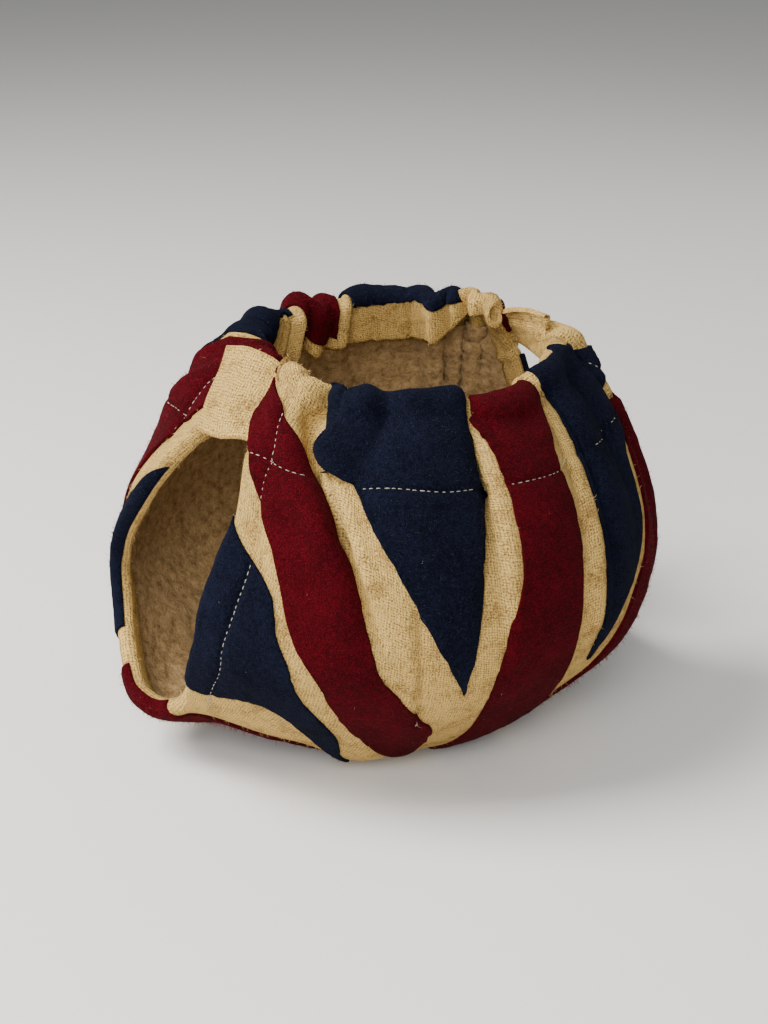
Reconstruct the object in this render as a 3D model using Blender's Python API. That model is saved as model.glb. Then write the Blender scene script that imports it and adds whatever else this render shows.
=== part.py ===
"""A tea cosy made as a Union Jack drawn up round a round teapot.

One rectangle of cream wool is laid under the pot with the flag's centre below it.  Its two long ends are
lifted up the sides of the pot, drawn in round the neck in soft folds and turned over as a deep hem.  Its two
short sides stand as low lips under the spout and the handle.  Red and navy felt is sewn on the outside, a
fleecy lining lies inside, and a cream tab closes the top above the spout and another above the handle.

Every layer is worked out on the same flat cloth, whose places are `across` (from spout to handle) and `along`
(from the near rim, below zero, to the far rim, above zero).  +X points to the handle, -Y is the near side.
"""

import math

import bmesh
import bpy
import numpy as np
from mathutils import Matrix, Vector

MM = 0.001

# Thickness of each layer and the space that keeps them apart, in millimetres.
CLOTH = 2.0
FELT = 1.2
LINING = 1.6
TAB = 3.0
SPACE = 0.3
HEM = 4.2

# The flat cloth: half its width, its length from the centre to the rim, and how far its corners fall short.
HALF_WIDTH = 105.0
RIM = 203.0
CORNER_DROOP = 38.0
ROLL = 3.2
TURN_IN = 15.0
LINING_TOP = 172.0

# The flag, measured from its centre lines: half widths of the red bands and of their cream borders, and, from
# the line to a corner, how far the red and the white of a diagonal reach towards the end and towards the side.
BAND_ACROSS = 15.5
BAND_ACROSS_BORDER = 25.0
BAND_UP = 12.5
BAND_UP_BORDER = 23.5
DIAGONAL_CORNER = (105.0, 158.0)
DIAGONAL_RED = (-6.5, 13.5)
DIAGONAL_WHITE = (-18.5, 29.5)
RAW_EDGE = 0.8

# The body that the cloth hugs, by the distance walked from the centre of the base.
#        walk  spout  handle  side  height
BODY = (
    (0, 0, 0, 0, 0),
    (25, 25, 25, 25, 0),
    (44, 44, 43, 43, 0),
    (64, 64, 60, 60, 6),
    (88, 88, 77, 75, 23),
    (115, 100, 86, 85, 48),
    (142, 94, 81, 81, 74),
    (166, 80, 70, 70, 97),
    (187, 64, 58, 59, 113),
    (205, 51, 50, 51, 123),
    (214, 49, 48, 50, 131),
)
# The low lips under the spout and the handle, by the same distance.
#       walk  spout  handle  height
LIP = (
    (0, 0, 0, 0),
    (25, 25, 25, 0),
    (44, 44, 43, 0),
    (64, 64, 60, 1.5),
    (88, 87, 77, 7),
    (105, 99, 86, 17),
    (130, 104, 90, 40),
)
# Where each panel's edges stand, as an angle from the near or far side, by the place along the cloth.
#        along  near_spout  far_spout  near_handle  far_handle
OPENING = (
    (0, 90, 90, 90, 90),
    (15, 83, 83, 82, 82),
    (27, 75, 76, 75, 75),
    (45, 70, 71, 70, 70),
    (75, 68.5, 73, 68, 68),
    (110, 67, 80, 70, 66),
    (150, 67, 85, 78, 63),
    (203, 67, 85, 80, 62),
)
# The gathers at the rim: a place across the cloth, its angle round the neck, how far it stands out, and how
# far it rises or drops.
#       across angle out  up
NEAR_RIM = (
    (-105, -80, 0, -1),
    (-99, -77, 2, 0),
    (-92, -70, 3, -1),
    (-86, -64, 1, -4),
    (-81, -60, -4, -6),
    (-76, -55, 0, -7),
    (-50, -37, 4, -8),
    (-34, -23, 4, -7),
    (-24, -15.5, 0, -8),
    (-18, -13, -5, -10),
    (-12.5, -11, 0, -10),
    (0, 3, 4, -7),
    (12.5, 19, 0, -7),
    (18, 22, -5, -7),
    (24, 26, -2, -5),
    (40, 36, 1, -4),
    (55, 46, -1, -4),
    (70, 57, 1, -3),
    (84, 65, -1, -2),
    (91, 68, -4, -1),
    (97, 75, 4, 1),
    (105, 86, 1, 0),
)
FAR_RIM = (
    (-105, -86, 0, -2),
    (-95, -78, 1, -2),
    (-86, -70, 2, -2),
    (-79, -64, -3, -4),
    (-72, -58, 3, -2),
    (-50, -42, 5, 0),
    (-34, -31, 3, 0),
    (-24, -25, 0, -1),
    (-18, -22.5, -4, -1),
    (-12.5, -20, 0, 0),
    (0, -11, 2, 0),
    (12.5, -2, 0, 0),
    (18, 0.5, -4, 0),
    (24, 3, 0, 0),
    (42, 16, 4, 0),
    (58, 28, 5, 0),
    (70, 37, 3, 0),
    (77, 41, -3, 0),
    (85, 46, 2, 1),
    (92, 50, -1, 1),
    (98, 54, 3, 0),
    (105, 58, 2, -1),
)
# How far down the cloth the gathers reach, as a share of its length, and how the leaning ones follow a corner.
GATHER_ANGLE_FROM = 0.62
GATHER_DEPTH_FROM = 0.45
GATHER_FAN = 0.6
RISE_FROM = 0.7
# The handle side is drawn tighter under the belly than the spout side.
TIGHT_UNDER_HANDLE = 0.16

# The tabs: how far down from the rim they reach, their height as a multiple of that, the slack at their seam
# and how far they bulge.  Each is sewn to one panel, near -1 or far +1, and laps over the other.
TAB_DEPTH = 24.0
TAB_STANDS_UP = 1.2
TAB_SEAM = 1.6
TAB_BULGE = 3.0
#    name  to_handle  sewn_to  lap  stands_off
TABS = (
    ("tab_spout", -1, -1, 11, 7.5),
    ("tab_handle", 1, 1, 5, 8.0),
)
TAB_PLACES = (0.0, 0.42, 0.75, 1.0)
TAB_STEPS = 9
TAB_LEVELS = 4

# Each quarter of the flag, by its signs towards the handle and towards the far side.
QUARTERS = (
    ("near_spout", -1, -1),
    ("near_handle", 1, -1),
    ("far_spout", -1, 1),
    ("far_handle", 1, 1),
)

# Lines of the grid on one half of the flat cloth.
ACROSS = (0, 6.5, 12.5, 18, 24, 32, 41, 50, 59, 68, 76, 83, 90, 98, 105)
ALONG = (0, 8, 15.5, 25, 36, 48, 60, 72, 84, 97, 110, 123, 136, 149, 161, 172, 182, 193, 203)
ROLL_STEPS = 4
LEG_STEPS = 2

COLOURS = {
    "cream": (0.60, 0.46, 0.27),
    "red": (0.17, 0.012, 0.02),
    "navy": (0.012, 0.017, 0.045),
    "lining": (0.42, 0.31, 0.18),
}


def smooth(x, start, end):
    """A soft step from 0 at start to 1 at end."""
    share = np.clip((x - start) / (end - start), 0, 1)
    return share * share * (3 - 2 * share)


def curve(table, column, x):
    """A smooth line through one column of a table, read by its first column."""
    rows = np.array(table, float)
    places = rows[:, 0]
    values = rows[:, column]
    slopes = np.gradient(values, places)
    x = np.clip(x, places[0], places[-1])
    i = np.clip(np.searchsorted(places, x, side="right") - 1, 0, len(places) - 2)
    step = places[i + 1] - places[i]
    u = (x - places[i]) / step
    from_left = (2 * u**3 - 3 * u**2 + 1) * values[i] + (u**3 - 2 * u**2 + u) * step * slopes[i]
    from_right = (3 * u**2 - 2 * u**3) * values[i + 1] + (u**3 - u**2) * step * slopes[i + 1]
    return from_left + from_right


def rim_along(across):
    """The place along the flat cloth where it turns over at the rim."""
    return RIM - CORNER_DROOP * (np.abs(across) / HALF_WIDTH) ** 2


def worn(across, along):
    """Where a point of the flat cloth lies on the worn cosy, in millimetres."""
    far = along > 0
    rim = rim_along(across)
    past_rim = np.maximum(np.abs(along) - rim, 0)
    up = np.minimum(np.abs(along), rim)

    stretch = smooth(up, 20, 160) * (205 / np.hypot(across, rim) - 1)
    walk = np.hypot(across, up) * (1 + stretch)

    spout_edge = np.where(far, curve(OPENING, 2, up), curve(OPENING, 1, up))
    handle_edge = np.where(far, curve(OPENING, 4, up), curve(OPENING, 3, up))
    edge = np.where(across < 0, spout_edge, handle_edge)
    fan = np.arctan2(across, np.maximum(up, 1e-6)) / np.arctan2(HALF_WIDTH, np.maximum(up, 1e-6))
    straight = smooth(up, 10, 105)
    angle = edge * (fan * (1 - straight) + across / HALF_WIDTH * straight)

    rim_angle = np.where(far, curve(FAR_RIM, 1, across), curve(NEAR_RIM, 1, across))
    lean = GATHER_FAN * smooth(np.abs(across), 25, 60)
    gather_place = across * (rim / np.maximum(up, 1)) ** lean
    gather = np.where(far, curve(FAR_RIM, 2, gather_place), curve(NEAR_RIM, 2, gather_place))
    drawn = smooth(up / rim, GATHER_ANGLE_FROM, 1)
    angle = angle * (1 - drawn) + rim_angle * drawn
    gather = gather * smooth(up / rim, GATHER_DEPTH_FROM, 1) ** 1.2
    rise = np.where(far, curve(FAR_RIM, 3, across), curve(NEAR_RIM, 3, across)) * smooth(up / rim, RISE_FROM, 1)

    to_handle = smooth(angle, -35, 35)
    length = curve(BODY, 1, walk) * (1 - to_handle) + curve(BODY, 2, walk) * to_handle
    width = curve(BODY, 3, walk)
    height = curve(BODY, 4, walk)
    lip = (1 - smooth(up, 5, 50)) * smooth(np.abs(across), 40, 95)
    lip_length = curve(LIP, 1, walk) * (1 - to_handle) + curve(LIP, 2, walk) * to_handle
    length = length * (1 - lip) + lip_length * lip
    height = height * (1 - lip) + curve(LIP, 3, walk) * lip

    turn = np.radians(angle)
    radius = 1 / np.hypot(np.sin(turn) / np.maximum(length, 1e-6), np.cos(turn) / np.maximum(width, 1e-6))
    tight = smooth(angle, -35, 45) * smooth(walk, 20, 60) * (1 - smooth(walk, 75, 150))
    radius = radius * (1 - TIGHT_UNDER_HANDLE * tight)

    roll = np.minimum(past_rim / ROLL, math.pi)
    leg = np.maximum(past_rim - math.pi * ROLL, 0)
    radius = radius + gather * (1 - 0.5 * roll / math.pi) - ROLL * (1 - np.cos(roll)) + 0.25 * leg
    height = height + ROLL * np.sin(roll) - leg + rise
    side = np.where(far, 1, -1)
    return np.stack([radius * np.sin(turn), side * radius * np.cos(turn), np.maximum(height, 0)], -1)


def grid_lines(past):
    """The flat grid: places across, and places along one half with the turned hem, `past` beyond the rim."""
    across = [-x for x in reversed(ACROSS[1:])] + list(ACROSS)
    roll = [math.pi * ROLL * (i + 1) / ROLL_STEPS for i in range(ROLL_STEPS)]
    leg = [roll[-1] + (past - roll[-1]) * (i + 1) / LEG_STEPS for i in range(LEG_STEPS)]
    return np.array(across, float), list(ALONG), roll + leg


def flat_grid():
    """Flat places (across, along) of every grid point, by row and column, for the whole cloth with its hems."""
    across, body, hem = grid_lines(math.pi * ROLL + TURN_IN)
    rows = []
    for place in body:
        rows.append(place - (RIM - rim_along(across)) * smooth(place, 50, RIM))
    for past in hem:
        rows.append(rim_along(across) + past)
    half = np.array(rows)
    along = np.vstack([-half[:0:-1], half])
    return np.tile(across, (len(along), 1)), along


def outward(points):
    """The direction out of the cloth at every grid point, softened over its neighbours."""
    over = np.gradient(points, axis=1)
    up = np.gradient(points, axis=0)
    normal = np.cross(up, over)
    normal /= np.linalg.norm(normal, axis=-1, keepdims=True)
    padded = np.pad(normal, ((1, 1), (1, 1), (0, 0)), mode="edge")
    soft = 2 * normal + padded[:-2, 1:-1] + padded[2:, 1:-1] + padded[1:-1, :-2] + padded[1:-1, 2:]
    return soft / np.linalg.norm(soft, axis=-1, keepdims=True)


def flat_cloth(keep):
    """The flat cloth as a triangle mesh that carries, at each point, its worn place and its outward direction."""
    across, along = flat_grid()
    middle = worn(across, along)
    normal = outward(middle)
    flat = bmesh.new()
    place_layer = flat.verts.layers.float_vector.new("place")
    out_layer = flat.verts.layers.float_vector.new("out")
    rows, columns = across.shape
    verts = {}
    for i in range(rows):
        for j in range(columns):
            vert = flat.verts.new((across[i, j], along[i, j], 0))
            vert[place_layer] = middle[i, j]
            vert[out_layer] = normal[i, j]
            verts[i, j] = vert
    for i in range(rows - 1):
        for j in range(columns - 1):
            if not keep(i, j, rows, columns):
                continue
            a, b, c, d = verts[i, j], verts[i, j + 1], verts[i + 1, j + 1], verts[i + 1, j]
            if (i < rows // 2) == (j < columns // 2):
                flat.faces.new((a, b, c))
                flat.faces.new((a, c, d))
            else:
                flat.faces.new((a, b, d))
                flat.faces.new((b, c, d))
    loose = [vert for vert in flat.verts if not vert.link_faces]
    bmesh.ops.delete(flat, geom=loose, context="VERTS")
    return flat


def cut(flat, point, normal):
    """Cuts the flat cloth along a line and drops what lies on the side that normal points to."""
    geometry = flat.verts[:] + flat.edges[:] + flat.faces[:]
    bmesh.ops.bisect_plane(
        flat, geom=geometry, dist=0.05, plane_co=(*point, 0), plane_no=(*normal, 0), clear_outer=True
    )


def sheet_object(name, flat, inner, outer, colour):
    """Gives a cut piece its thickness, from inner to outer along its outward direction, and closes its rim."""
    bmesh.ops.triangulate(flat, faces=flat.faces[:])
    place_layer = flat.verts.layers.float_vector["place"]
    out_layer = flat.verts.layers.float_vector["out"]
    solid = bmesh.new()
    low, high = {}, {}
    for vert in flat.verts:
        place, out = vert[place_layer], vert[out_layer]
        inner_offset = inner(vert) if callable(inner) else inner
        low[vert] = solid.verts.new((place + out * inner_offset) * MM)
        high[vert] = solid.verts.new((place + out * outer) * MM)
    for face in flat.faces:
        corners = face.verts[:]
        solid.faces.new([high[vert] for vert in corners])
        solid.faces.new([low[vert] for vert in reversed(corners)])
    for edge in flat.edges:
        if len(edge.link_faces) == 1:
            loop = edge.link_loops[0]
            start, end = loop.vert, loop.link_loop_next.vert
            solid.faces.new((high[end], high[start], low[start], low[end]))
    bmesh.ops.triangulate(solid, faces=solid.faces[:])
    bmesh.ops.recalc_face_normals(solid, faces=solid.faces[:])
    mesh = bpy.data.meshes.new(name)
    solid.to_mesh(mesh)
    solid.free()
    flat.free()
    return add_object(name, mesh, colour)


def add_object(name, mesh, colour):
    mesh.shade_smooth()
    mesh.set_sharp_from_angle(angle=math.radians(50))
    piece = bpy.data.objects.new(name, mesh)
    bpy.context.scene.collection.objects.link(piece)
    material = bpy.data.materials.new(name)
    material.use_nodes = True
    shader = material.node_tree.nodes["Principled BSDF"]
    shader.inputs["Base Color"].default_value = (*COLOURS[colour], 1)
    shader.inputs["Roughness"].default_value = 0.9
    mesh.materials.append(material)
    return piece


def make_cloth():
    """The cream ground: one sheet, doubled at its spout and handle edges by a narrow hem."""
    flat = flat_cloth(lambda i, j, rows, columns: True)

    def inner(vert):
        at_edge = abs(vert.co.x) > HALF_WIDTH - 0.1
        below_rim = abs(vert.co.y) < rim_along(vert.co.x) - 12
        return CLOTH / 2 - HEM if at_edge and below_rim else -CLOTH / 2

    return sheet_object("cloth", flat, inner, CLOTH / 2, "cream")


def make_lining():
    """The fleecy lining, which ends inside the hems."""
    flat = flat_cloth(lambda i, j, rows, columns: 0 < j < columns - 2)
    inside = -CLOTH / 2 - SPACE
    cut(flat, (0, LINING_TOP), (0, 1))
    cut(flat, (0, -LINING_TOP), (0, -1))
    return sheet_object("lining", flat, inside - LINING, inside, "lining")


def felt(name, colour, lines):
    """A felt piece: the flat cloth cut along each line, laid on the outside and turned over the rim with it."""
    near_end = LEG_STEPS + ROLL_STEPS // 2
    flat = flat_cloth(lambda i, j, rows, columns: near_end <= i < rows - 1 - LEG_STEPS)
    for point, normal in lines:
        cut(flat, point, normal)
    inside = CLOTH / 2 + SPACE
    return sheet_object(name, flat, inside, inside + FELT, colour)


def make_cross():
    """The red cross: one band from spout to handle, and two that butt against it and run up the sides."""
    end = HALF_WIDTH - RAW_EDGE
    edges = [((0, BAND_ACROSS), (0, 1)), ((0, -BAND_ACROSS), (0, -1))]
    felt("band_across", "red", edges + [((end, 0), (1, 0)), ((-end, 0), (-1, 0))])
    for name, side in (("near", -1), ("far", 1)):
        start = side * (BAND_ACROSS + SPACE)
        lines = [((BAND_UP, 0), (1, 0)), ((-BAND_UP, 0), (-1, 0)), ((0, start), (0, -side))]
        felt("band_" + name, "red", lines)


def make_quarter(name, to_handle, to_far):
    """One quarter of the flag: a red diagonal between two navy triangles."""
    corner = math.hypot(*DIAGONAL_CORNER)
    to_side = (-to_handle * DIAGONAL_CORNER[1] / corner, to_far * DIAGONAL_CORNER[0] / corner)
    to_end = (-to_side[0], -to_side[1])
    if to_handle == to_far:
        (red_end, red_side), (white_end, white_side) = DIAGONAL_RED, DIAGONAL_WHITE
    else:
        red_side, red_end = (-x for x in DIAGONAL_RED)
        white_side, white_end = (-x for x in DIAGONAL_WHITE)

    def on(distance):
        return (to_side[0] * distance, to_side[1] * distance)

    end = ((to_handle * (HALF_WIDTH - RAW_EDGE), 0), (to_handle, 0))
    from_side_band = ((to_handle * BAND_UP_BORDER, 0), (-to_handle, 0))
    from_end_band = ((0, to_far * BAND_ACROSS_BORDER), (0, -to_far))
    borders = [end, from_side_band, from_end_band]
    felt("diagonal_" + name, "red", borders + [(on(red_side), to_side), (on(red_end), to_end)])
    felt("navy_side_" + name, "navy", borders + [(on(white_side), to_end)])
    felt("navy_end_" + name, "navy", borders + [(on(white_end), to_side)])


def make_tab(name, to_handle, sewn, lap, stands_off):
    """A cream tab that bridges the gap at the rim: sewn to one panel's corner, lapped outside the other's."""
    shares = np.linspace(0, 1, TAB_STEPS + 1)
    levels = np.linspace(0, 1, TAB_LEVELS + 1)
    rows = []
    for level in levels * TAB_STANDS_UP:
        sewn_end = edge_point(to_handle, HALF_WIDTH, sewn, level, 0)
        over_edge = edge_point(to_handle, HALF_WIDTH, -sewn, level, stands_off)
        lapped_end = edge_point(to_handle, HALF_WIDTH - lap, -sewn, level, stands_off)
        away = over_edge - sewn_end
        away /= np.linalg.norm(away)
        sewn_end = sewn_end + away * TAB_SEAM
        middle = (sewn_end + over_edge) / 2 + np.array((to_handle * TAB_BULGE, 0, 0))
        stations = [(place, *point) for place, point in zip(TAB_PLACES, (sewn_end, middle, over_edge, lapped_end))]
        rows.append(np.stack([curve(stations, axis, shares) for axis in (1, 2, 3)], -1))
    middle = np.array(rows)
    normal = outward(middle)
    if (normal[0, 0] @ np.array((to_handle, 0, 0))) < 0:
        normal = -normal
    flat = bmesh.new()
    place_layer = flat.verts.layers.float_vector.new("place")
    out_layer = flat.verts.layers.float_vector.new("out")
    verts = {}
    for i in range(TAB_LEVELS + 1):
        for j in range(TAB_STEPS + 1):
            vert = flat.verts.new((j, i, 0))
            vert[place_layer] = middle[i, j]
            vert[out_layer] = normal[i, j]
            verts[i, j] = vert
    for i in range(TAB_LEVELS):
        for j in range(TAB_STEPS):
            flat.faces.new((verts[i, j], verts[i, j + 1], verts[i + 1, j + 1], verts[i + 1, j]))
    return sheet_object(name, flat, -TAB / 2, TAB / 2, "cream")


def edge_point(to_handle, across, side, level, offset):
    """A place near a corner of the rim, lifted off the cloth: level 0 is the foot of a tab and 1 is the rim."""
    across = to_handle * across
    rim = rim_along(across)
    foot, top = (lifted(across, side * along, offset) for along in (rim - TAB_DEPTH, rim - 1))
    return foot + (top - foot) * level


def lifted(across, along, offset):
    """A worn place, moved straight out from the pot's axis."""
    place = worn(np.array([across]), np.array([along]))[0]
    out = np.array((place[0], place[1], 0))
    return place + out / np.linalg.norm(out) * offset


def stand_at_origin():
    """Moves every piece so that the whole stands on the floor, with the middle of its box above the origin."""
    pieces = list(bpy.data.objects)
    corners = np.array([vert.co[:] for piece in pieces for vert in piece.data.vertices])
    low, high = corners.min(0), corners.max(0)
    shift = Vector((-(low[0] + high[0]) / 2, -(low[1] + high[1]) / 2, -low[2]))
    for piece in pieces:
        piece.data.transform(Matrix.Translation(shift))


def main():
    for old in list(bpy.data.objects):
        bpy.data.objects.remove(old)
    make_cloth()
    make_lining()
    make_cross()
    for name, to_handle, to_far in QUARTERS:
        make_quarter(name, to_handle, to_far)
    for tab in TABS:
        make_tab(*tab)
    stand_at_origin()


main()
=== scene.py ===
# %% [markdown]
# # A tea cosy drawn up from a flat flag
# A tea cosy keeps a teapot warm.  This one is an oblong of cream wool with a flag of red and navy felt sewn
# on it.  The pot stands on the middle of the flag.  The two long ends come up its sides, are turned over as
# a hem and are gathered at the neck, and a tab joins them above the spout and another above the handle.
#
# The lesson dresses a plain solid model.  The solids come in first and stay where they are, and every
# visible piece is then made round them: cloth, felt, lining, tabs, stitches and fluff.

# %% Load the solid model
import math

import bpy
import numpy as np
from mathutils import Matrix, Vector
from mathutils.bvhtree import BVHTree


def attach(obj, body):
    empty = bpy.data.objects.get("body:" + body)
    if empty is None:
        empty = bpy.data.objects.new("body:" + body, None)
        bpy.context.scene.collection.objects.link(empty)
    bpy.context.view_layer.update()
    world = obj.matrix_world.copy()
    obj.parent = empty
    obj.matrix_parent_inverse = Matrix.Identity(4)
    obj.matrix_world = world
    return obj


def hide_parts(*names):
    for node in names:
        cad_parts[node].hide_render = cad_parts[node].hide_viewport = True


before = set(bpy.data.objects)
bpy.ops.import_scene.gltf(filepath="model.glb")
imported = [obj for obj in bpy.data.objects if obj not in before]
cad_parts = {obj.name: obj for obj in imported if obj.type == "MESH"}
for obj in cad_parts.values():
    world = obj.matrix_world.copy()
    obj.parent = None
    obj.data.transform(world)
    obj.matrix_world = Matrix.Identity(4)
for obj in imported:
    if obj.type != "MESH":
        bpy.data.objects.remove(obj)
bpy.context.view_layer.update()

MM = 0.001

# %% [markdown]
# ## The camera
# A camera looks along its own -Z.  Turned 90 degrees about X it looks level along +Y, so the height angle
# is taken off that, and the turn to the side goes about Z.  A lens of 60 mm stands well back and keeps the
# far side of the cosy nearly as large as the near side.

# %% Camera
# Places in this script are in millimetres.  The pot's axis stands a little off the middle of the model's
# box, and the cloth lies on the felt below it.
STAND = np.array((11.0, 0.1, 2.5))
CAMERA_PLACE = (-252.0, -457.8, 290.2)
CAMERA_TURN = -29.0
CAMERA_DOWN = 23.0
LENS = 59.8


def placed(name, data):
    """A new object in the scene."""
    thing = bpy.data.objects.new(name, data)
    bpy.context.scene.collection.objects.link(thing)
    return thing


camera = placed("camera", bpy.data.cameras.new("camera"))
camera.location = Vector(CAMERA_PLACE) * MM
camera.rotation_euler = (math.radians(90 - CAMERA_DOWN), 0, math.radians(CAMERA_TURN))
camera.data.lens = LENS
bpy.context.scene.camera = camera
print("camera at", tuple(round(x, 3) for x in camera.location))

# %% [markdown]
# ## Floor and light
# Wool looks flat under one hard lamp and grey under light from everywhere.  A wide soft panel above and
# behind on one side gives every fold a bright and a shaded flank, a weaker panel near the camera opens the
# shadows, and a faint one lights the handle end.  The floor is plain, pale and matt, so that it only takes a
# soft shadow.

# %% Floor and light
def plain_material(name, colour, roughness):
    """A material with one colour, for what isn't part of the cosy."""
    material = bpy.data.materials.new(name)
    material.use_nodes = True
    shader = material.node_tree.nodes["Principled BSDF"]
    shader.inputs["Base Color"].default_value = (*colour, 1)
    shader.inputs["Roughness"].default_value = roughness
    return material


def soft_panel(name, place, size, watts, colour):
    """A square area light, turned to the cosy."""
    light = bpy.data.lights.new(name, "AREA")
    light.size = size * MM
    light.energy = watts
    light.color = colour
    lamp = placed(name, light)
    lamp.location = Vector(place) * MM
    lamp.rotation_euler = (Vector(COSY_MIDDLE) - Vector(place)).to_track_quat("-Z", "Y").to_euler()


FLOOR_HALF = 6000.0
FLOOR_COLOUR = (0.72, 0.70, 0.67)
FLOOR_ROUGHNESS = 0.8
SKY_COLOUR = (0.93, 0.96, 1.0)
SKY_STRENGTH = 0.3
COSY_MIDDLE = (0, 0, 60)
#    name  place  size  watts  colour
PANELS = (
    ("window_panel", (-650, 250, 900), 600, 27, (1.0, 0.98, 0.95)),
    ("front_panel", (-600, -750, 650), 600, 13, (1.0, 0.99, 0.97)),
    ("handle_panel", (900, 100, 500), 700, 1.8, (0.95, 0.98, 1.0)),
)

floor_mesh = bpy.data.meshes.new("floor")
signs = ((-1, -1), (1, -1), (1, 1), (-1, 1))
floor_corners = [(x * FLOOR_HALF * MM, y * FLOOR_HALF * MM, 0) for x, y in signs]
floor_mesh.from_pydata(floor_corners, [], [(0, 1, 2, 3)])
floor_mesh.materials.append(plain_material("floor", FLOOR_COLOUR, FLOOR_ROUGHNESS))
placed("floor", floor_mesh)

for panel in PANELS:
    soft_panel(*panel)
world = bpy.data.worlds.new("studio")
world.use_nodes = True
sky = world.node_tree.nodes["Background"].inputs
sky["Color"].default_value = (*SKY_COLOUR, 1)
sky["Strength"].default_value = SKY_STRENGTH
bpy.context.scene.world = world

# %% [markdown]
# ## The flat cloth
# A real cosy is cut flat and takes its form on the pot, so every piece here is first drawn flat too.  A
# place on the flat cloth has two sizes in millimetres: `across`, from the spout edge (-105) to the handle
# edge (105), and `along`, from the near rim (about -203) to the far rim (203).  Both are 0 at the flag's
# centre.

# %% Sizes of the flat cloth
HALF_WIDTH = 105.0
RIM = 203.0
CORNER_DROOP = 38.0
# The cloth turns over the rim round a roll of this radius, and then runs this far down inside.
ROLL = 3.2
TURN_IN = 15.0
# The thicknesses of the layers.
CLOTH = 2.0
FELT = 1.3
LINING = 1.6


def smooth(x, start, end):
    """A soft step from 0 at start to 1 at end."""
    share = np.clip((x - start) / (end - start), 0, 1)
    return share * share * (3 - 2 * share)


def mixed(first, second, share):
    """Part of the way from one value to another."""
    return first * (1 - share) + second * share


def unit(ways):
    """Directions with a length of 1."""
    return ways / (np.linalg.norm(ways, axis=-1, keepdims=True) + 1e-9)


def hump(across, along, middle_across, middle_along, reach_across, reach_along):
    """A soft hump over flat places: 1 in its middle, and 0 well past its reach."""
    off_across, off_along = (across - middle_across) / reach_across, (along - middle_along) / reach_along
    return np.exp(-(off_across**2) - off_along**2)


def curve(table, column, x):
    """A smooth line through one column of a table, read by the table's first column."""
    rows = np.array(table, float)
    places, values = rows[:, 0], rows[:, column]
    slopes = np.gradient(values, places)
    x = np.clip(x, places[0], places[-1])
    i = np.clip(np.searchsorted(places, x, side="right") - 1, 0, len(places) - 2)
    step = places[i + 1] - places[i]
    u = (x - places[i]) / step
    from_left = (2 * u**3 - 3 * u**2 + 1) * values[i] + (u**3 - 2 * u**2 + u) * step * slopes[i]
    from_right = (3 * u**2 - 2 * u**3) * values[i + 1] + (u**3 - u**2) * step * slopes[i + 1]
    return from_left + from_right


def rim_along(across):
    """The place along the flat cloth where it turns over at the rim.  The corners fall short."""
    return RIM - CORNER_DROOP * (np.abs(across) / HALF_WIDTH) ** 2


print("the rim is at", RIM, "in the middle and", float(rim_along(HALF_WIDTH)), "at the corners")

# %% [markdown]
# ## The form that the cloth hugs
# The pot is round, a little longer towards the spout, with a flat foot.  A maker would measure it with a
# tape laid from the middle of the base up over the belly to the neck.  The first table does the same: after
# each length walked along the tape it gives how far the cloth stands from the axis, and how high it is.
# The second table does it for the low lips under the spout and the handle, and the third says where each
# panel's two edges stand round the pot.

# %% The form of the belly, the lips and the openings
#        walk  spout  handle  side  height
BODY = (
    (0, 0, 0, 0, 0),
    (25, 25, 25, 25, 0),
    (44, 44, 43, 43, 0),
    (64, 64, 59, 57, 7.5),
    (88, 88, 76, 74, 25),
    (115, 100, 86, 85, 48),
    (142, 94, 78.5, 80.5, 74),
    (166, 80, 68, 69.5, 97),
    (187, 64, 58, 59, 113),
    (205, 51, 50, 51, 123),
    (214, 49, 48, 50, 131),
)
#       walk  spout  handle  height
LIP = (
    (0, 0, 0, 0),
    (25, 25, 25, 0),
    (44, 44, 43, 0),
    (64, 64, 60, 1.5),
    (88, 87, 77, 7),
    (105, 99, 86, 17),
    (130, 104, 90, 40),
)
#        along  near_spout  far_spout  near_handle  far_handle
OPENING = (
    (0, 90, 90, 90, 90),
    (15, 83, 83, 82, 82),
    (27, 75, 76, 75, 75),
    (45, 70, 71, 70, 70),
    (75, 68.5, 73, 68, 68),
    (110, 66, 80, 70, 66),
    (150, 64.5, 85, 77, 65),
    (203, 65, 85, 78, 67),
)
print("the tape runs", BODY[-1][0], "mm, from the middle of the base to above the rim")

# %% [markdown]
# ## The gathers at the rim
# A drawn-in edge isn't an even frill.  Stiff layers of felt stay smooth, and the single cream cloth between
# them folds in.  Each row below is one place across the cloth: the angle that it is drawn to round the
# neck, how far it stands out (a ridge) or in (a valley), and how far it rises.

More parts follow.
